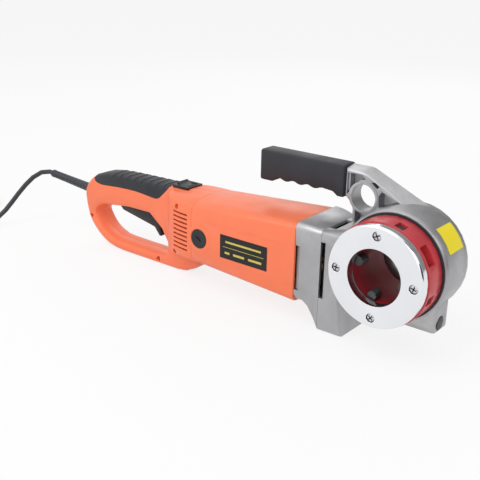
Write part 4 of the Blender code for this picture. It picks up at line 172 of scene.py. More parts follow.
@dataclass(frozen=True)
class Finish:
    """A surface finish with its colour, gloss, fine texture and wear."""

    name: str
    colour: Triple
    roughness: float
    metallic: float = 0.0
    coat: float = 0.0
    grain: Grain = Grain.MOULDED
    grain_scale: float = 900.0
    grain_height: float = 0.00006
    mottle: float = 0.05
    roughness_spread: float = 0.06
    wear: float = 0.0
    specular: float = 0.5

    def material(self) -> bpy.types.Material:
        """Build the finish's material once.

        Returns:
            The material, made or already there.
        """
        found = bpy.data.materials.get(self.name)
        if found:
            return found
        result = bpy.data.materials.new(self.name)
        result.use_nodes = True
        result.diffuse_color = (*self.colour, 1)
        work = Shading(result.node_tree)
        shader = result.node_tree.nodes["Principled BSDF"]
        shader.inputs["Metallic"].default_value = self.metallic
        shader.inputs["Specular IOR Level"].default_value = self.specular
        shader.inputs["Coat Weight"].default_value = self.coat
        shader.inputs["Coat Roughness"].default_value = COAT_ROUGHNESS
        place = work.add("TexCoord").outputs["Object"]
        work.join(self._colour(work, place), shader.inputs["Base Color"])
        work.join(self._gloss(work, place), shader.inputs["Roughness"])
        work.join(self._relief(work, place), shader.inputs["Normal"])
        return result

    def _noise(self, work: Shading, place: Socket, scale: float, detail: float,
               stretch: Triple = EVEN) -> Socket:
        """Add a noise texture on the object's own coordinates.

        Args:
            work: The material's tree.
            place: The object's coordinates.
            scale: The noise's scale, per metre.
            detail: Its octaves.
            stretch: How the pattern is scaled along each axis.

        Returns:
            The noise's value.
        """
        mapping = work.add("Mapping", {"Scale": stretch})
        noise = work.add("TexNoise", {"Scale": scale, "Detail": detail})
        work.join(place, mapping.inputs["Vector"])
        work.join(mapping.outputs["Vector"], noise.inputs["Vector"])
        return noise.outputs["Fac"]

    def _colour(self, work: Shading, place: Socket) -> Socket:
        """Vary the colour a little in soft patches, with paler worn edges.

        Args:
            work: The material's tree.
            place: The object's coordinates.

        Returns:
            The colour.
        """
        ramp = work.add("ValToRGB")
        dark, light = ramp.color_ramp.elements
        dark.position = NOISE_SPAN[0]
        light.position = NOISE_SPAN[1]
        dark.color = (*(c * (1 - self.mottle) for c in self.colour), 1)
        light.color = (*(min(c * (1 + self.mottle), 1) for c in self.colour), 1)
        work.join(self._noise(work, place, PATCH_SCALE, PATCH_DETAIL), ramp.inputs["Fac"])
        if self.wear:
            return self._worn(work, place, ramp.outputs["Color"])
        return ramp.outputs["Color"]

    def _worn(self, work: Shading, place: Socket, colour: Socket) -> Socket:
        """Lighten the raised edges in broken patches.

        Args:
            work: The material's tree.
            place: The object's coordinates.
            colour: The unworn colour.

        Returns:
            The worn colour.
        """
        low, high = EDGE_POINTINESS
        edge = work.add("MapRange", {"From Min": low, "From Max": high, "To Max": self.wear})
        share = work.add("Math")
        share.operation = "MULTIPLY"
        mix = work.add("Mix")
        mix.data_type = "RGBA"
        mix.inputs["B"].default_value = (*(min(c * WEAR_GAIN + WEAR_LIFT, 1) for c in self.colour), 1)
        work.join(work.add("NewGeometry").outputs["Pointiness"], edge.inputs["Value"])
        work.join(edge.outputs["Result"], share.inputs[0])
        work.join(self._noise(work, place, WEAR_SCALE, WEAR_DETAIL), share.inputs[1])
        work.join(share.outputs["Value"], mix.inputs["Factor"])
        work.join(colour, mix.inputs["A"])
        return mix.outputs["Result"]

    def _gloss(self, work: Shading, place: Socket) -> Socket:
        """Vary the roughness in patches.

        Args:
            work: The material's tree.
            place: The object's coordinates.

        Returns:
            The roughness.
        """
        spread = work.add("MapRange", {
            "From Min": NOISE_SPAN[0],
            "From Max": NOISE_SPAN[1],
            "To Min": max(self.roughness - self.roughness_spread, GLOSS_LEAST),
            "To Max": self.roughness + self.roughness_spread,
        })
        work.join(self._noise(work, place, GLOSS_SCALE, GLOSS_DETAIL), spread.inputs["Value"])
        return spread.outputs["Result"]

    def _relief(self, work: Shading, place: Socket) -> Socket:
        """Make the fine texture as bump, with pits in a cast finish.

        Args:
            work: The material's tree.
            place: The object's coordinates.

        Returns:
            The bumped normal.
        """
        stretch = DRAWN_OUT if self.grain is Grain.TURNED else EVEN
        height = self._noise(work, place, self.grain_scale, GRAIN_DETAIL[self.grain], stretch)
        if self.grain is Grain.CAST:
            pits = work.add("TexVoronoi", {"Scale": self.grain_scale * PIT_SCALE_SHARE})
            both = work.add("Math")
            work.join(place, pits.inputs["Vector"])
            work.join(height, both.inputs[0])
            work.join(pits.outputs["Distance"], both.inputs[1])
            height = both.outputs["Value"]
        bump = work.add("Bump", {"Strength": BUMP_STRENGTH, "Distance": self.grain_height})
        work.join(height, bump.inputs["Height"])
        return bump.outputs["Normal"]


ORANGE = Finish("orange moulding", (0.93, 0.2, 0.085), 0.4, coat=0.03, mottle=0.03, grain_height=0.00004)
CAST = Finish("cast aluminium", (0.4, 0.4, 0.41), 0.43, metallic=0.85, grain=Grain.CAST,
              grain_height=0.00012, mottle=0.1, wear=0.55)
BLACK = Finish("black moulding", (0.02, 0.02, 0.023), 0.42, mottle=0.15, specular=0.35)
RUBBER = Finish("black rubber", (0.028, 0.029, 0.035), 0.55, grain_scale=1400.0, grain_height=0.00012,
                mottle=0.15, specular=0.35)
LEAD = Finish("lead sheath", (0.03, 0.032, 0.04), 0.4, grain_scale=500.0, grain_height=0.00003, mottle=0.1,
              specular=0.4)
RED = Finish("red paint", (0.5, 0.03, 0.04), 0.36, coat=0.12, grain_scale=300.0, grain_height=0.00003,
             mottle=0.08, wear=0.25)
# Painted shade: a darker red for the inside of the drum's bore, where shade falls.
BORE_SHADE = Finish("drum bore painted shade", (0.22, 0.014, 0.02), 0.5, grain_scale=300.0, mottle=0.2, specular=0.2)
BRIGHT = Finish("bright plate", (0.82, 0.83, 0.86), 0.16, metallic=1.0, grain=Grain.TURNED,
                grain_scale=700.0, grain_height=0.00001, mottle=0.02, roughness_spread=0.04)
SCREW = Finish("plated screw", (0.66, 0.66, 0.68), 0.34, metallic=1.0, grain=Grain.PLAIN,
               grain_height=0.00002)
DIE = Finish("blackened tool steel", (0.05, 0.05, 0.053), 0.36, metallic=0.6, grain=Grain.TURNED,
             mottle=0.25, wear=0.5)
STEEL = Finish("ground steel", (0.45, 0.45, 0.46), 0.3, metallic=1.0, grain=Grain.TURNED)
BRONZE = Finish("bearing bronze", (0.6, 0.4, 0.18), 0.35, metallic=1.0, grain=Grain.TURNED, mottle=0.08)
COPPER = Finish("varnished winding", (0.55, 0.24, 0.1), 0.4, metallic=0.7, mottle=0.2)
CARBON = Finish("brush carbon", (0.05, 0.05, 0.05), 0.6, grain=Grain.CAST, mottle=0.2)
YELLOW = Finish("yellow patch", (0.93, 0.76, 0.01), 0.4, grain=Grain.PLAIN, grain_height=0.00001,
                mottle=0.03)
LABEL = Finish("dark label", (0.022, 0.023, 0.022), 0.5, grain=Grain.PLAIN, grain_height=0.00001,
               mottle=0.1, specular=0.2)
MARK = Finish("label print", (0.6, 0.5, 0.12), 0.5, grain=Grain.PLAIN, grain_height=0.00001, mottle=0.08,
              specular=0.2)


# Bench work


def rest_hands() -> None:
    """Leave edit mode and select nothing."""
    if bpy.context.object and bpy.context.object.mode != "OBJECT":
        bpy.ops.object.mode_set(mode="OBJECT")
    bpy.ops.object.select_all(action="DESELECT")


def take(piece: Piece) -> Piece:
    """Select one piece alone and make it active.

    Args:
        piece: The piece.

    Returns:
        The same piece.
    """
    rest_hands()
    piece.select_set(True)
    bpy.context.view_layer.objects.active = piece
    return piece


def settle(piece: Piece) -> Piece:
    """Put a piece's place, turn and size into its mesh.

    Args:
        piece: The piece.

    Returns:
        The same piece, at the origin.
    """
    take(piece)
    bpy.ops.object.transform_apply(location=True, rotation=True, scale=True)
    return piece


def apply_all(piece: Piece) -> Piece:
    """Apply a piece's modifiers in order.

    Args:
        piece: The piece.

    Returns:
        The same piece.
    """
    take(piece)
    for modifier in list(piece.modifiers):
        bpy.ops.object.modifier_apply(modifier=modifier.name)
    return piece


def smooth(piece: Piece, degrees: float = 30.0) -> Piece:
    """Shade a piece smoothly except at its sharp edges.

    Args:
        piece: The piece.
        degrees: The least angle that counts as a sharp edge.

    Returns:
        The same piece.
    """
    take(piece)
    bpy.ops.object.shade_smooth_by_angle(angle=math.radians(degrees))
    return piece


def rounded(piece: Piece, width: float, segments: int = 2, degrees: float = 35.0) -> Piece:
    """Round a piece's sharp edges.

    Args:
        piece: The piece.
        width: The rounding in millimetres.
        segments: How many faces make the rounding.
        degrees: The least angle that counts as an edge.

    Returns:
        The same piece.
    """
    bevel = piece.modifiers.new("edges", "BEVEL")
    bevel.width = width * MM
    bevel.segments = segments
    bevel.limit_method = "ANGLE"
    bevel.angle_limit = math.radians(degrees)
    bevel.use_clamp_overlap = True
    bevel.miter_outer = "MITER_ARC"
    apply_all(piece)
    return smooth(piece)


def mended(piece: Piece) -> Piece:
    """Merge doubled points and turn all faces outwards.

    Args:
        piece: The piece.

    Returns:
        The same piece.
    """
    take(piece)
    bpy.ops.object.mode_set(mode="EDIT")
    bpy.ops.mesh.select_all(action="SELECT")
    bpy.ops.mesh.remove_doubles(threshold=MERGE_DISTANCE)
    bpy.ops.mesh.normals_make_consistent(inside=False)
    bpy.ops.object.mode_set(mode="OBJECT")
    return piece


def carve(piece: Piece, cutter: Piece, operation: str = "DIFFERENCE") -> Piece:
    """Cut one piece with another, or join them, and remove the other.

    Args:
        piece: The piece.
        cutter: The other piece.
        operation: What is done, in the modifier's own word.

    Returns:
        The cut or joined piece.
    """
    cut = piece.modifiers.new("cut", "BOOLEAN")
    cut.operation = operation
    cut.solver = "EXACT"
    cut.object = cutter
    apply_all(piece)
    bpy.data.objects.remove(cutter, do_unlink=True)
    return piece


def spun(name: str, profile: list[Pair], centre: Vector, axis: Vector, steps: int = 96,
         start: Vector | None = None) -> Piece:
    """Spin a profile a full turn round an axis.

    Args:
        name: The new piece's name.
        profile: Points as (radius, distance along the axis), in millimetres.
        centre: A point on the axis, in metres.
        axis: The axis as a unit vector.
        steps: The faces round the axis.
        start: The direction in which the profile is drawn.

    Returns:
        The spun piece, with its place in its mesh.
    """
    out = start or axis.orthogonal().normalized()
    rest_hands()
    mesh = bpy.data.meshes.new(name)
    points = [centre + out * radius * MM + axis * along * MM for radius, along in profile]
    count = len(points)
    mesh.from_pydata(points, [(i, (i + 1) % count) for i in range(count)], [])
    piece = bpy.data.objects.new(name, mesh)
    bpy.context.scene.collection.objects.link(piece)
    take(piece)
    bpy.ops.object.mode_set(mode="EDIT")
    bpy.ops.mesh.select_all(action="SELECT")
    bpy.ops.mesh.spin(steps=steps, angle=math.tau, center=centre, axis=axis)
    bpy.ops.object.mode_set(mode="OBJECT")
    return mended(piece)


def headed(face: tuple[Pair, ...], head: Pair, shank: Pair) -> list[Pair]:
    """Draw the profile of a screw or cap, with a shaped face, a head and a shank.

    Args:
        face: The face's points as (share of the head's radius, depth in millimetres).
        head: The head's radius and its depth behind the face.
        shank: The shank's radius and its end's depth behind the face.

    Returns:
        The profile, closed along the axis.
    """
    radius, under = head
    inner, end = shank
    shaped = [(radius * share, depth) for share, depth in face]
    return [*shaped, (radius, under), (inner, under), (inner, end), (0, end)]


def block(name: str, low: Vector, high: Vector) -> Piece:
    """Add a box between two corners.

    Args:
        name: The new piece's name.
        low: Its lowest corner, in metres.
        high: Its highest corner, in metres.

    Returns:
        The box.
    """
    rest_hands()
    bpy.ops.mesh.primitive_cube_add(size=1, location=(low + high) / 2)
    piece = bpy.context.object
    piece.name = name
    piece.scale = high - low
    return settle(piece)


def groove_cutter(place: Vector, reach: float, half: float, depth: float, front: float,
                  degrees: float) -> Piece:
    """Make a bar that cuts a straight groove into a face across the die head's direction.

    Args:
        place: The groove's middle on the face, in metres.
        reach: Half its length, in millimetres.
        half: Half its width.
        depth: How far the bar reaches from the face towards the back of the tool.
        front: How far it reaches from the face towards the front.
        degrees: Its turn about the die head's direction.

    Returns:
        The bar.
    """
    bar = block("groove", Vector((-reach, -front, -half)) * MM, Vector((reach, depth, half)) * MM)
    bar.data.transform(Matrix.Translation(place) @ Matrix.Rotation(math.radians(degrees), 4, "Y"))
    return bar


def node_copy(frame: dict, node: str, name: str) -> Piece:
    """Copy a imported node's mesh as a new piece, with its triangles merged into whole faces.

    Args:
        frame: The loaded frame.
        node: The node's name.
        name: The new piece's name.

    Returns:
        The new piece.
    """
    piece = bpy.data.objects.new(name, frame["nodes"][node].data.copy())
    bpy.context.scene.collection.objects.link(piece)
    piece.data.materials.clear()
    take(piece)
    bpy.ops.mesh.customdata_custom_splitnormals_clear()
    bpy.ops.object.mode_set(mode="EDIT")
    bpy.ops.mesh.select_all(action="SELECT")
    bpy.ops.mesh.remove_doubles(threshold=MERGE_DISTANCE)
    bpy.ops.mesh.dissolve_limited(angle_limit=math.radians(FLAT_DEGREES))
    bpy.ops.object.mode_set(mode="OBJECT")
    return piece


def dress(piece: Piece, finish: Finish, body: str, *nodes: str, slot: str = "") -> Piece:
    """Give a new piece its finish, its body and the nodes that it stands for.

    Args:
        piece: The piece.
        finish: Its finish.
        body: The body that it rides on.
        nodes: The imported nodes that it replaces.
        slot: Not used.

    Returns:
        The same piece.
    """
    piece.data.materials.clear()
    piece.data.materials.append(finish.material())
    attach(piece, body)
    if nodes:
        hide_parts(*nodes)
    log.info("%s rides on %s", piece.name, body)
    return piece


def repaint(frame: dict, finish: Finish, *nodes: str) -> None:
    """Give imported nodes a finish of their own.

    Args:
        frame: The loaded frame.
        finish: The finish.
        nodes: The nodes' names.
    """
    for node in nodes:
        packed = frame["nodes"][node]
        packed.data.materials.clear()
        packed.data.materials.append(finish.material())
        log.info("%s has the finish %s", node, finish.name)


def refine(frame: dict, node: str, finish: Finish, body: str, width: float, segments: int = 2,
           degrees: float = 35.0) -> Piece:
    """Stand in for a node with a copy that has rounded edges and smooth faces.

    Args:
        frame: The loaded frame.
        node: The node's name.
        finish: The copy's finish.
        body: The body that it rides on.
        width: The rounding in millimetres.
        segments: How many faces make the rounding.
        degrees: The least angle that counts as an edge.

    Returns:
        The copy.
    """
    piece = rounded(node_copy(frame, node, f"{node}_finished"), width, segments, degrees)
    return dress(piece, finish, body, node)


def laid_out(rows: int, columns: int, place: Callable[[float, float], Vector]) -> list[list[Vector]]:
    """Lay points in rows over a patch.

    Args:
        rows: The steps from the first row to the last.
        columns: The steps along a row.
        place: Gives the point for a share of the way along a row and of the way across the rows.

    Returns:
        The rows of points.
    """
    return [[place(column / columns, row / rows) for column in range(columns + 1)]
            for row in range(rows + 1)]


def wrapped_patch(name: str, places: list[list[Vector]], target: Piece, thickness: float,
                  lift: float) -> Piece:
    """Lay a thin plate or foil on a piece's surface.

    Args:
        name: The new piece's name.
        places: Rows of points near the surface, in metres.
        target: The piece that carries it.
        thickness: The plate's thickness in millimetres.
        lift: The height of its middle over the surface in millimetres.

    Returns:
        The patch as a closed thin solid.
    """
    rows = len(places)
    columns = len(places[0])
    rest_hands()
    bpy.ops.mesh.primitive_grid_add(x_subdivisions=columns - 1, y_subdivisions=rows - 1, size=1)
    piece = bpy.context.object
    piece.name = name
    for index, vertex in enumerate(piece.data.vertices):
        vertex.co = places[index // columns][index % columns]
    wrap = piece.modifiers.new("wrap", "SHRINKWRAP")
    wrap.target = target
    wrap.wrap_method = "NEAREST_SURFACEPOINT"
    wrap.wrap_mode = "ABOVE_SURFACE"
    wrap.offset = lift * MM
    wall = piece.modifiers.new("wall", "SOLIDIFY")
    wall.thickness = thickness * MM
    wall.offset = 0
    apply_all(piece)
    return smooth(mended(piece), degrees=40)


def smooth_route(points: list[Vector], steps: int) -> list[Vector]:
    """Draw a smooth curve through points.

    Args:
        points: The route.
        steps: The points laid between each two.

    Returns:
        The finer route, both ends kept.
    """
    result = []
    last = len(points) - 1
    for index in range(last):
        a, b, c, d = (points[min(max(index + k, 0), last)] for k in (-1, 0, 1, 2))
        for step in range(steps):
            t = step / steps
            result.append(a * (((-t + 2) * t - 1) * t / 2) + b * (((3 * t - 5) * t * t + 2) / 2)
                          + c * (((-3 * t + 4) * t + 1) * t / 2) + d * ((t - 1) * t * t / 2))
    return result + [points[-1]]


def evenly(points: list[Vector], spacing: float) -> list[Vector]:
    """Space points evenly along a route.

    Args:
        points: The route.
        spacing: The wanted distance in metres.

    Returns:
        The new points, both ends kept.
    """
    reach = [0.0]
    for before, after in zip(points, points[1:]):
        reach.append(reach[-1] + (after - before).length)
    count = max(round(reach[-1] / spacing), 1)
    result = [points[0]]
    index = 0
    for step in range(1, count):
        goal = reach[-1] * step / count
        while reach[index + 1] < goal:
            index += 1
        share = (goal - reach[index]) / (reach[index + 1] - reach[index])
        result.append(points[index].lerp(points[index + 1], share))
    return result + [points[-1]]


def round_strand(name: str, points: list[Vector], radius: float, resolution: int) -> Piece:
    """Draw a round strand through points.

    Args:
        name: The new piece's name.
        points: Its middle line, in metres.
        radius: Its radius in millimetres.
        resolution: How finely its section is rounded.

    Returns:
        The strand as a curve.
    """
    curve = bpy.data.curves.new(name, "CURVE")
    curve.dimensions = "3D"
    curve.bevel_depth = radius * MM
    curve.bevel_resolution = resolution
    curve.use_fill_caps = True
    spline = curve.splines.new("POLY")
    spline.points.add(len(points) - 1)
    for point, place in zip(spline.points, points):
        point.co = (*place, 1)
    piece = bpy.data.objects.new(name, curve)
    bpy.context.scene.collection.objects.link(piece)
    return piece


# Sub-assemblies


@dataclass
class DieHead:
    """The red drum with its bright plate, four screws and four dies. Lengths are in millimetres."""

    frame: dict
    plate_radius: float = 59.5
    plate_front: float = 0.0
    plate_back: float = 11.6
    plate_bore: float = 33.0
    plate_steps: int = 128
    rim: float = 3.0
    rim_steps: int = 6
    back_edge: float = 0.6
    bore_edge: tuple[Pair, ...] = ((0.0, 0.7), (0.2, 0.2), (0.8, 0.0))
    """The bore's front edge as (distance out from the bore, depth behind the face)."""
    hole_mouth: Pair = (0.5, 0.05)
    """How much wider than the head a hole's mouth is, and how far before the face its slope starts."""
    hole_gap: Pair = (0.3, 0.2)
    """How much wider it is further in, and the depth where that begins."""
    hole_seat: float = 3.4
    shank_hole: Pair = (2.9, 18.0)
    """The radius and the end of the hole for the shank."""
    screw_head: float = 5.0
    screw_face: tuple[Pair, ...] = ((0.0, 0.0), (0.55, 0.1), (0.85, 0.4), (1.0, 0.9))
    """The head's face as (share of its radius, depth)."""
    screw_under: float = 2.8
    screw_shank: Pair = (2.5, 23.5)
    """The shank's radius and the depth of its end."""
    screw_steps: int = 32
    screw_turns: tuple[float, ...] = (20.0, 62.0, 5.0, 41.0)
    cross_reach: float = 3.1
    cross_half: float = 0.75
    cross_depth: float = 2.2
    cross_front: float = 0.5
    hole_shade: Pair = (1.0, 0.45)
    # The depth where the painted shade in a hole begins, and how far past the screw's head it reaches.
    """The depth where a hole turns dark, and how far past the screw's head it is dark."""
    cross_shade: Pair = (0.6, 3.4)
    # The depth where the painted shade in a screw's cross begins, and how far from its middle it reaches.
    """The depth where a screw's cross turns dark, and how far from its middle."""
    drum_edge: float = 0.7
    die_edge: float = 0.25
    # Where the bore's painted shade goes: within this reach of the axis, this far behind the plate's face, on
    # faces that turn inwards.
    bore_shade_reach: float = 40.0
    bore_shade_from: float = 13.0
    bore_shade_facing: float = 0.5
    count: int = 4
    body: str = "die_head"

    def build(self) -> None:
        """Build and dress every piece of the die head."""
        self._plate()
        self._screws()
        self._drum()
        for number in range(1, self.count + 1):
            refine(self.frame, f"die_{number}", DIE, self.body, self.die_edge, segments=1)

    def _drum(self) -> None:
        """Round the drum's edges, and paint shade into its bore with a darker red."""
        drum = refine(self.frame, "die_head_drum", RED, self.body, self.drum_edge)
        drum.data.materials.append(BORE_SHADE.material())
        axis = at(0, 0, 0)
        # Painted shade: the bore's deep, inward-facing faces take the darker red.
        for face in drum.data.polygons:
            across = Vector((face.center.x - axis.x, 0, face.center.z - axis.z))
            facing = across.normalized().dot(face.normal)
            deep = face.center.y > axis.y + self.bore_shade_from * MM
            if across.length < self.bore_shade_reach * MM and facing < self.bore_shade_facing and deep:
                face.material_index = 1

    def _screw_places(self) -> list[Vector]:
        """Find the middle of each screw's head from its packed box.

        Returns:
            The four places, in metres.
        """
        result = []
        for number in range(1, self.count + 1):
            low, high = (Vector(corner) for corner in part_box(f"cover_plate_screw_{number}"))
            result.append(Vector(((low.x + high.x) / 2, low.y, (low.z + high.z) / 2)))
        return result

    def _plate_profile(self) -> list[Pair]:
        """Draw the plate's section, with its rounded rim.

        Returns:
            The points as (radius, depth).
        """
        front = self.plate_front
        back = self.plate_back
        turns = [math.radians(90 * step / self.rim_steps) for step in range(self.rim_steps + 1)]
        rim = [(self.plate_radius - self.rim * (1 - math.sin(turn)), front + self.rim * (1 - math.cos(turn)))
               for turn in turns]
        bore = [(self.plate_bore + out, front + depth) for out, depth in self.bore_edge]
        return [*bore, *rim, (self.plate_radius, back - self.back_edge),
                (self.plate_radius - self.back_edge, back), (self.plate_bore, back)]

    def _hole_profile(self) -> list[Pair]:
        """Draw the section of a screw's hole.

        Returns:
            The points as (radius, depth).
        """
        mouth = self.screw_head + self.hole_mouth[0]
        wall = self.screw_head + self.hole_gap[0]
        shank, end = self.shank_hole
        return [(0, -OVERRUN), (mouth, -OVERRUN), (mouth, -self.hole_mouth[1]), (wall, self.hole_gap[1]),
                (wall, self.hole_seat), (shank, self.hole_seat), (shank, end), (0, end)]

    def _plate(self) -> None:
        """Spin the plate with its rounded rim, and sink the screw holes."""
        plate = spun("bright_plate", self._plate_profile(), at(0, 0, 0), INWARD, self.plate_steps,
                     start=Vector((1, 0, 0)))
        for place in self._screw_places():
            middle = Vector((place.x, at(0, self.plate_front, 0).y, place.z))
            carve(plate, spun("hole", self._hole_profile(), middle, INWARD, self.screw_steps))
        dress(smooth(plate), BRIGHT, self.body, "cover_plate", slot="bright_plate")
        depth, gap = self.hole_shade
        self._paint_recess_shade(plate, depth, self.screw_head + gap)

    def _screws(self) -> None:
        """Turn a cross-headed screw for each of the four holes."""
        profile = headed(self.screw_face, (self.screw_head, self.screw_under), self.screw_shank)
        for number, (place, turn) in enumerate(zip(self._screw_places(), self.screw_turns), 1):
            screw = spun(f"plate_screw_{number}", profile, place, INWARD, self.screw_steps)
            for angle in (turn, turn + 90):
                carve(screw, groove_cutter(place, self.cross_reach, self.cross_half, self.cross_depth,
                                           self.cross_front, angle))
            dress(smooth(screw), SCREW, self.body, f"cover_plate_screw_{number}", slot="screw_steel")
            self._paint_recess_shade(screw, *self.cross_shade)

    def _paint_recess_shade(self, piece: Piece, depth: float, reach: float) -> None:
        """Paint shade into the recesses at the four screws with the black finish.

        Args:
            piece: The plate or a screw.
            depth: How far behind the plate's face the painted shade begins, in millimetres.
            reach: How far it reaches from each screw's axis, in millimetres.
        """
        # Painted shade: faces deep in the recesses round each screw take the black finish.
        piece.data.materials.append(BLACK.material())
        front = at(0, self.plate_front, 0).y
        places = self._screw_places()
        for face in piece.data.polygons:
            away = min(math.hypot(face.center.x - place.x, face.center.z - place.z) for place in places)
            if away < reach * MM and face.center.y > front + depth * MM:
                face.material_index = 1


@dataclass
class GearHead:
    """The cast head with its arm, neck, covers, sleeve, button and patch. Lengths are in millimetres."""

    frame: dict
    cast_edge: float = 0.9
    cast_degrees: float = 28.0
    cover_edge: float = 0.6
    sleeve_edge: float = 0.7
    button_edge: float = 0.5
    ring_radius: float = 66.5
    patch_angles: Pair = (23.4, 51.0)
    patch_depths: Pair = (55.0, 91.0)
    patch_steps: tuple[int, int] = (8, 12)
    patch_thickness: float = 0.2
    patch_lift: float = 0.25
    # Painted shadow: a dark band in the shaded gap between the drum and the ring.
    shadow_ring_radii: Pair = (56.8, 63.4)
    shadow_ring_depths: Pair = (42.4, 43.4)
    shadow_ring_edge: Pair = (0.4, 0.3)
    # The width and depth of the painted shadow ring's sloped edges.
    """The width and depth of the seal's sloped edges."""
    cover_screws: int = 4
    body: str = "root"

    def build(self) -> None:
        """Build and dress every piece of the head."""
        head = refine(self.frame, "gear_head", CAST, self.body, self.cast_edge, degrees=self.cast_degrees)
        refine(self.frame, "gear_case", CAST, self.body, self.cast_edge)
        refine(self.frame, "rear_cover", CAST, self.body, self.cover_edge)
        refine(self.frame, "handle_sleeve", RUBBER, self.body, self.sleeve_edge, segments=3)
        refine(self.frame, "lock_button", BLACK, "lock_button", self.button_edge)
        self._patch(head)
        self._shadow_ring()
        repaint(self.frame, BLACK, "seam_liner", "vent_baffle")
        repaint(self.frame, SCREW, *(f"rear_cover_screw_{number + 1}" for number in range(self.cover_screws)))

    def _shadow_ring(self) -> None:
        """Spin the thin dark band on the ring's face, behind the drum, as painted shadow for the gap there.
        """
        inner, outer = self.shadow_ring_radii
        front, back = self.shadow_ring_depths
        width, depth = self.shadow_ring_edge
        profile = [(inner, front + depth), (inner + width, front), (outer - width, front),
                   (outer, front + depth), (outer, back), (inner, back)]
        # Painted shadow: the dark band stands in for the shade in the gap, not a real part.
        dress(smooth(spun("painted_shadow_ring", profile, at(0, 0, 0), INWARD)), RUBBER, self.body)

    def _patch(self, head: Piece) -> None:
        """Lay the plain yellow patch on the ring's outer surface.

        Args:
            head: The cast head.
        """
        first, last = self.patch_angles
        near, far = self.patch_depths

        def place(along: float, across: float) -> Vector:
            """Find a point of the patch on the ring's round outside."""
            angle = math.radians(first + (last - first) * along)
            depth = near + (far - near) * across
            return at(self.ring_radius * math.cos(angle), depth, self.ring_radius * math.sin(angle))

        patch = wrapped_patch("yellow_patch", laid_out(*self.patch_steps, place), head, self.patch_thickness,
                              self.patch_lift)
        dress(patch, YELLOW, self.body)


@dataclass
class Motor:
    """The orange motor tube with its caps, plate and inner parts. Lengths are in millimetres."""

    frame: dict
    tube_edge: float = 0.8
    brush_x: float = -268.5
    brush_z: float = -24.4
    near_face: float = 16.2
    far_face: float = 111.8
    cap_head: Pair = (13.0, 3.5)
    """The head's radius and thickness."""
    cap_face: tuple[Pair, ...] = ((0.0, 0.7), (0.6, 0.6), (0.78, 0.1), (0.9, 0.0), (0.97, 0.25), (1.0, 0.9))
    cap_shank: Pair = (8.5, 19.5)
    """The shank's radius and the depth of its end."""
    cap_edge: float = 0.2
    cap_steps: int = 64
    slot_reach: float = 4.6
    slot_half: float = 1.2
    slot_depth: float = 2.1
    slot_turn: float = 38.0
    label_corner: Pair = (-231.6, -40.0)
    label_size: Pair = (75.3, 31.4)
    label_depth: float = 14.0
    label_steps: tuple[int, int] = (6, 14)
    label_wall: Pair = (0.3, 0.3)
    """The plate's thickness and the height of its middle over the tube."""
    band_steps: tuple[int, int] = (2, 8)
    band_wall: Pair = (0.05, 0.05)
    bands: tuple[Edges, ...] = (
        (9, 66.3, 21.6, 24.2), (5, 70.3, 15.4, 16.0), (8, 16, 6.5, 9.5), (22, 40, 6.5, 9.5),
        (46.3, 67.3, 6.5, 9.5),
    )
    """Each band's left, right, lower and upper edge, from the rating plate's lower left corner."""
    ledge_radius: float = 0.55
    ledge_route: tuple[Triple, ...] = (
        (-262, 17.55, 2.8), (-215, 17.15, 2.6), (-165, 16.75, 2.4), (-148, 16.6, 2.6), (-141, 16.55, 3.6),
        (-138, 16.6, 5.2),
    )
    body: str = "root"

    def build(self) -> None:
        """Build and dress every piece of the motor."""
        tube = refine(self.frame, "motor_housing", ORANGE, self.body, self.tube_edge)
        self._cap("brush_cap_near", self.near_face, 1)
        self._cap("brush_cap_far", self.far_face, -1)
        self._label(tube)
        self._ledge()
        repaint(self.frame, COPPER, "stator", "armature_core")
        repaint(self.frame, BRONZE, "commutator", "motor_bearing_front", "motor_bearing_rear", "front_bush",
                "rear_bush", "layshaft_bearing_near", "layshaft_bearing_far")
        repaint(self.frame, STEEL, "motor_shaft", "drive_ring", "layshaft", "bevel_gear", "spur_pinion")
        repaint(self.frame, BLACK, "fan", "motor_end_bracket")
        repaint(self.frame, CARBON, "brush_near", "brush_far")

    def _cap(self, node: str, face: float, inward: int) -> None:
        """Turn a brush cap with its dished face and cut its slot.

        Args:
            node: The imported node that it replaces.
            face: Where its face is, as a depth.
            inward: Which way its shank points along the depth.
        """
        centre = at(self.brush_x, face, self.brush_z)
        profile = headed(self.cap_face, self.cap_head, self.cap_shank)
        cap = spun(f"{node}_finished", profile, centre, INWARD * inward, self.cap_steps)
        carve(cap, groove_cutter(centre, self.slot_reach, self.slot_half, self.slot_depth, OVERRUN,
                                 self.slot_turn))
        dress(rounded(cap, self.cap_edge, segments=1), BLACK, self.body, node)

    def _on_tube(self, edges: Edges) -> Callable[[float, float], Vector]:
        """Make the rule that places the points of a patch on the tube's side.

        Args:
            edges: Its left, right, lower and upper edge, from the rating plate's lower left corner.

        Returns:
            The rule for laid_out.
        """
        left, right, low, high = edges
        x, z = self.label_corner
        return lambda along, across: at(x + left + (right - left) * along, self.label_depth,
                                        z + low + (high - low) * across)

    def _label(self, tube: Piece) -> None:
        """Lay the blank dark rating plate on the tube's side, and its plain bands.

        Args:
            tube: The motor's tube.
        """
        width, height = self.label_size
        places = laid_out(*self.label_steps, self._on_tube((0, width, 0, height)))
        plate = dress(wrapped_patch("rating_plate", places, tube, *self.label_wall), LABEL, self.body)
        for number, edges in enumerate(self.bands, 1):
            places = laid_out(*self.band_steps, self._on_tube(edges))
            dress(wrapped_patch(f"label_band_{number}", places, plate, *self.band_wall), MARK, self.body)

    def _ledge(self) -> None:
        """Lay the thin moulded ledge along the tube's side."""
        route = smooth_route([at(*place) for place in self.ledge_route], steps=4)
        ledge = round_strand("side_ledge", route, self.ledge_radius, resolution=3)
        take(ledge)
        bpy.ops.object.convert(target="MESH")
        dress(smooth(ledge, degrees=60), ORANGE, self.body)


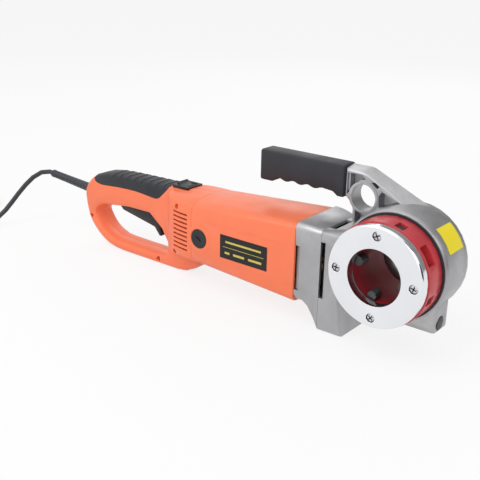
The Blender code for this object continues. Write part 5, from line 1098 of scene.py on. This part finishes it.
@dataclass
class RearHandle:
    """The clamshell handle with its pad, switches and screws. Lengths are in millimetres."""

    frame: dict
    shell_edge: float = 0.7
    pad_edge: float = 0.6
    rocker_edge: float = 0.5
    trigger_edge: float = 0.8
    shell_degrees: float = 40.0
    screws: int = 4
    body: str = "root"

    def build(self) -> None:
        """Build and dress every piece of the handle."""
        for node in ("rear_shell_near", "rear_shell_far"):
            refine(self.frame, node, ORANGE, self.body, self.shell_edge, degrees=self.shell_degrees)
        refine(self.frame, "grip_pad", RUBBER, self.body, self.pad_edge, degrees=self.shell_degrees)
        refine(self.frame, "rocker_bezel", BLACK, self.body, self.rocker_edge)
        refine(self.frame, "rocker", BLACK, "rocker", self.rocker_edge, segments=3)
        refine(self.frame, "trigger", BLACK, "trigger", self.trigger_edge, segments=3)
        repaint(self.frame, BLACK, "trigger_switch")
        repaint(self.frame, STEEL, "trigger_pin")
        repaint(self.frame, DIE, *(f"shell_screw_{number + 1}" for number in range(self.screws)))


@dataclass
class MainsLead:
    """The boot, the free cord, its coil and tie, the tail and the plug. Lengths are in millimetres."""

    frame: dict
    radius: float = 3.75
    cord_resolution: int = 5
    handle_rear: float = -526.0
    depth: float = 64.0
    height: float = -18.0
    setback: float = 9.5
    tilt: float = 4.6
    boot_length: float = 104.5
    boot_radius: float = 7.0
    boot_taper: float = 1.4
    boot_steps: int = 48
    collar: Pair = (9.0, 3.0)
    """The radius and thickness of the boot's inner collar."""
    ring_first: float = 20.0
    ring_pitch: float = 8.4
    ring_count: int = 7
    ring_groove: tuple[Pair, ...] = ((0.0, 0.0), (0.3, 0.8), (0.3, 2.0), (0.05, 2.8))
    """A ring's groove as (depth under the boot's taper, place along it)."""
    bead: tuple[Pair, ...] = ((5.75, 5.0), (6.1, 3.4), (6.15, 1.2), (5.7, 0.0), (3.9, 0.0), (0.0, 0.0))
    """The boot's end as (radius, distance before the end)."""
    floor: float = -96.0
    floor_hair: float = 0.001
    gap: float = 0.3
    spacing: float = 18.0
    route_steps: int = 16
    coil_centre: Pair = (-823.0, 15.0)
    coil_start: float = -80.0
    coil_turns: int = 7
    coil_steps: int = 24
    coil_outer: float = 59.0
    coil_pitch: float = 8.1
    climb_turns: float = 0.5
    tie_thickness: float = 1.2
    tie_edge: float = 0.3
    plug_place: Pair = (-903.5, 36.2)
    plug_angle: float = 84.0
    plug_radius: float = 15.0
    plug_length: float = 38.0
    plug_edge: float = 1.2
    plug_steps: int = 64
    plug_flare: tuple[Pair, ...] = (
        (0, 0), (5.2, 0), (6.0, 0.8), (6.6, 4), (8.2, 8), (11.5, 13), (13.9, 16.5), (14.9, 20), (15.0, 24),
    )
    pin_side: float = 9.5
    pin_steps: int = 24
    pin: tuple[Pair, ...] = ((0, -5), (2.4, -5), (2.4, 17.5), (1.5, 18.8), (0, 19))
    """A pin as (radius, distance past the plug's face)."""
    body: str = "root"
    run: tuple[Triple, ...] = (
        (-644, 61, -11.8), (-657, 53.5, -20), (-668, 42, -35), (-676, 28, -53), (-682, 12, -72),
        (-690, -6, -87), (-705, -22, -91.5), (-729, -33.5, -91.8), (-755, -37, -91.2), (-779, -37.2, -90.8),
    )
    tail: tuple[Triple, ...] = (
        (-838.7, -47.2, -83.8), (-858.1, -45.8, -87.5), (-883, -30.1, -91.8), (-899.6, -8.8, -90),
        (-906.3, 11.6, -84.3), (-905.1, 25.7, -81.2),
    )

    def build(self) -> None:
        boot = self._boot()
        plug = self._plug()
        tie = refine(self.frame, "cord_tie", BLACK, self.body, self.tie_edge, segments=1)
        points = self._points()
        cord = round_strand("mains_cord", points, self.radius, self.cord_resolution)
        dress(cord, LEAD, self.body, "cord", "cord_coil", "cord_tail", slot="black_rubber")
        length = sum((after - before).length for before, after in zip(points, points[1:]))
        log.info("the lead is %.2f m long", length)
        tuple(points[0])

    def _axis(self, distance: float) -> Vector:
        """Find a point on the boot's axis.

        Args:
            distance: How far it is behind the boot's inner end.

        Returns:
            The point in metres.
        """
        turn = Matrix.Rotation(math.radians(self.tilt), 3, "Y")
        pivot = Vector((self.handle_rear, self.depth, self.height))
        start = Vector((self.handle_rear + self.setback - distance, self.depth, self.height))
        return at(*(pivot + turn @ (start - pivot)))

    def _boot(self) -> Piece:
        """Turn the tapered boot with its collar, shallow rings and end bead.

        Returns:
            The boot.
        """
        end = self.boot_length
        rings = []
        for number in range(self.ring_count):
            start = self.ring_first + self.ring_pitch * number
            here = self.boot_radius - self.boot_taper * (start - self.setback) / (end - self.setback)
            rings += [(here - deep, start + along) for deep, along in self.ring_groove]
        wide, thick = self.collar
        collar = [(0, 0), (wide, 0), (wide, thick), (self.boot_radius, thick)]
        bead = [(radius, end - before) for radius, before in self.bead]
        profile = [*collar, (self.boot_radius, self.setback + self.gap), *rings, *bead]
        axis = (self._axis(end) - self._axis(0)).normalized()
        boot = spun("lead_boot", profile, self._axis(0), axis, self.boot_steps)
        return dress(smooth(boot, degrees=50), LEAD, self.body, "strain_relief", slot="black_rubber")

    def _coil_point(self, turn: float) -> Vector:
        """Find a point on the coil, which spirals in, climbs a layer and spirals out.

        Args:
            turn: How many turns it is from the coil's start.

        Returns:
            The point in metres.
        """
        angle = math.radians(self.coil_start - 360 * turn)
        climb = min(max((turn - self.coil_turns / 2) / self.climb_turns + 0.5, 0), 1)
        rise = self.coil_pitch * climb * climb * (3 - 2 * climb)
        radius = self.coil_outer - self.coil_pitch * min(turn, self.coil_turns - turn)
        level = self.floor + self.tie_thickness + self.gap + self.radius
        x, y = self.coil_centre
        return at(x + radius * math.cos(angle), y + radius * math.sin(angle), level + rise)

    def _free(self, start: list[Vector], places: tuple[Triple, ...], end: list[Vector]) -> list[Vector]:
        """Lay a free stretch of cord with a straight run at each end.

        Args:
            start: The first run's two ends, in metres.
            places: The stretch's own route, in millimetres.
            end: The last run's two ends, in metres.

        Returns:
            The stretch's points.
        """
        route = [start[1], *(at(*place) for place in places), end[0]]
        least = at(0, 0, self.floor + self.radius + self.floor_hair).z
        middle = evenly(smooth_route(route, self.route_steps), self.spacing * MM)
        return [start[0], *(Vector((p.x, p.y, max(p.z, least))) for p in middle), end[1]]

    def _points(self) -> list[Vector]:
        """Lay out the whole lead from the boot to the plug.

        Returns:
            Its points in metres.
        """
        count = self.coil_turns * self.coil_steps
        straight = self.gap + self.spacing / 2
        loops = [self._coil_point(self.coil_turns * step / count) for step in range(count + 1)]
        first = loops[0] + (loops[0] - loops[1]).normalized() * 2 * self.radius * MM
        last = loops[-1] + (loops[-1] - loops[-2]).normalized() * 2 * self.radius * MM
        before = first + (first - loops[0]).normalized() * straight * MM
        after = last + (last - loops[-1]).normalized() * straight * MM
        start = [self._axis(self.boot_length + self.gap), self._axis(self.boot_length + straight)]
        run = self._free(start, self.run, [before, first])
        tail = self._free([last, after], self.tail,
                          [self._plug_point(-straight), self._plug_point(-self.gap)])
        return run + loops + tail

    def _plug_point(self, distance: float, side: float = 0.0) -> Vector:
        """Find a point along the plug.

        Args:
            distance: How far it is past the plug's cord end.
            side: How far it is to the side of the plug's axis.

        Returns:
            The point in metres.
        """
        turn = math.radians(self.plug_angle)
        x, y = self.plug_place
        return at(x + distance * math.cos(turn) - side * math.sin(turn),
                  y + distance * math.sin(turn) + side * math.cos(turn),
                  self.floor + self.plug_radius + self.floor_hair)

    def _plug(self) -> Piece:
        """Turn the moulded plug and set its two round pins.

        Returns:
            The plug.
        """
        far = self.plug_length
        profile = [*self.plug_flare, (self.plug_radius, far - self.plug_edge),
                   (self.plug_radius - self.plug_edge, far), (0, far)]
        turn = math.radians(self.plug_angle)
        axis = Vector((math.cos(turn), math.sin(turn), 0))
        plug = spun("mains_plug", profile, self._plug_point(0), axis, self.plug_steps)
        pin = [(radius, far + past) for radius, past in self.pin]
        for side in (-self.pin_side, self.pin_side):
            carve(plug, spun("pin", pin, self._plug_point(0, side), axis, self.pin_steps), "UNION")
        return dress(smooth(plug, degrees=40), LEAD, self.body, "plug", slot="black_rubber")


# Studio


@dataclass(frozen=True)
class Lamp:
    """A soft square lamp that faces the tool, with its place and side in metres and its power in watts."""

    name: str
    place: Triple
    side: float
    power: float
    goal: Triple = (0.0, 0.0, 0.08)

    def hang(self) -> None:
        """Hang the lamp."""
        data = bpy.data.lights.new(self.name, "AREA")
        data.size = self.side
        data.energy = self.power
        lamp = bpy.data.objects.new(self.name, data)
        bpy.context.scene.collection.objects.link(lamp)
        lamp.location = self.place
        lamp.rotation_euler = (Vector(self.place) - Vector(self.goal)).to_track_quat("Z", "Y").to_euler()


@dataclass(frozen=True)
class Card:
    """A dark card that only shows in reflections, to give the metal its contrast, in metres and degrees."""

    name: str
    place: Triple
    sides: Pair
    turn: Triple
    shade: float

    def stand(self) -> None:
        """Stand the card up and hide it from all but glossy rays."""
        rest_hands()
        turn = [math.radians(angle) for angle in self.turn]
        bpy.ops.mesh.primitive_plane_add(size=1, location=self.place, rotation=turn)
        card = bpy.context.object
        card.scale = (*self.sides, 1)
        settle(card)
        card.name = self.name
        dark = bpy.data.materials.new(self.name)
        dark.use_nodes = True
        shader = dark.node_tree.nodes["Principled BSDF"]
        shader.inputs["Base Color"].default_value = (self.shade, self.shade, self.shade, 1)
        shader.inputs["Roughness"].default_value = 1.0
        card.data.materials.append(dark)
        card.visible_camera = False
        card.visible_diffuse = False
        card.visible_shadow = False
        card.visible_transmission = False


@dataclass
class Studio:
    """The pale floor, the soft lights, the cards and the camera at the photograph's viewing angle."""

    yaw: float = 38.38
    elevation: float = 20.13
    roll: float = 1.135
    camera_place: Triple = (380.5, -714.9, 333.2)
    lens: float = 59.54
    sensor: float = 36.0
    near_clip: float = 0.01
    world_level: float = 0.62
    floor_side: float = 60.0
    floor_drop: float = 0.0005
    floor_shade: float = 0.86
    floor_roughness: float = 0.9
    floor_glow: float = 0.82
    lamps: tuple[Lamp, ...] = (
        Lamp("key", (-0.5, -1.2, 1.6), 1.6, 17.0),
        Lamp("fill", (1.4, -1.0, 0.9), 1.2, 6.0),
        Lamp("back", (-0.4, 1.6, 1.3), 1.6, 8.0),
    )
    cards: tuple[Card, ...] = (
        Card("side_card", (1.25, -0.1, 0.3), (0.5, 1.5), (0, 90, 0), 0.03),
        Card("high_card", (0.95, 0.15, 1.2), (0.5, 0.9), (0, 35, 0), 0.03),
        Card("rear_card", (0.6, 1.25, 0.88), (2.2, 1.5), (90, 0, 0), 0.3),
    )

    def build(self) -> None:
        """Set up the studio."""
        self._camera()
        self._world()
        self._floor()
        for lamp in self.lamps:
            lamp.hang()
        for card in self.cards:
            card.stand()

    def _camera(self) -> None:
        """Place the camera where the photograph was taken from."""
        yaw, elevation, roll = (math.radians(value) for value in (self.yaw, self.elevation, self.roll))
        back = Vector((math.sin(yaw) * math.cos(elevation), -math.cos(yaw) * math.cos(elevation),
                       math.sin(elevation)))
        right = Vector((math.cos(yaw), math.sin(yaw), 0))
        up = back.cross(right)
        rolled = right * math.cos(roll) + up * math.sin(roll)
        upper = up * math.cos(roll) - right * math.sin(roll)
        data = bpy.data.cameras.new("camera")
        data.lens = self.lens
        data.sensor_width = self.sensor
        data.clip_start = self.near_clip
        camera = bpy.data.objects.new("camera", data)
        bpy.context.scene.collection.objects.link(camera)
        turn = Matrix((rolled, upper, back)).transposed().to_4x4()
        camera.matrix_world = Matrix.Translation(at(*self.camera_place)) @ turn
        bpy.context.scene.camera = camera

    def _world(self) -> None:
        """Light the scene evenly, with a white background."""
        world = bpy.data.worlds.new("studio")
        bpy.context.scene.world = world
        world.use_nodes = True
        work = Shading(world.node_tree)
        background = world.node_tree.nodes["Background"]
        level = work.add("MapRange", {"To Min": self.world_level, "To Max": 1.0})
        work.join(work.seen(), level.inputs["Value"])
        work.join(level.outputs["Result"], background.inputs["Strength"])
        background.inputs["Color"].default_value = (1, 1, 1, 1)

    def _floor(self) -> None:
        """Lay the pale floor, which keeps the object's shadow."""
        rest_hands()
        bpy.ops.mesh.primitive_plane_add(size=self.floor_side, location=(0, 0, -self.floor_drop))
        floor = settle(bpy.context.object)
        floor.name = "studio_floor"
        pale = bpy.data.materials.new("pale floor")
        pale.use_nodes = True
        work = Shading(pale.node_tree)
        shader = pale.node_tree.nodes["Principled BSDF"]
        shader.inputs["Base Color"].default_value = (self.floor_shade, self.floor_shade, self.floor_shade, 1)
        shader.inputs["Roughness"].default_value = self.floor_roughness
        mix = work.add("MixShader")
        share = work.add("Math")
        share.operation = "MULTIPLY"
        share.inputs[1].default_value = self.floor_glow
        work.join(work.seen(), share.inputs[0])
        work.join(share.outputs["Value"], mix.inputs["Fac"])
        work.join(shader.outputs["BSDF"], mix.inputs[1])
        work.join(work.add("Emission").outputs["Emission"], mix.inputs[2])
        work.join(mix.outputs["Shader"], pale.node_tree.nodes["Material Output"].inputs["Surface"])
        floor.data.materials.append(pale)


def main() -> None:
    """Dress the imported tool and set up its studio."""
    logging.basicConfig(level=logging.INFO, format="%(name)s: %(message)s")
    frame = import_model()
    scene = bpy.context.scene
    scene.view_settings.view_transform = "Standard"
    Studio().build()
    MainsLead(frame).build()
    DieHead(frame).build()
    GearHead(frame).build()
    Motor(frame).build()
    RearHandle(frame).build()
    rest_hands()


if __name__ == "__main__":
    main()
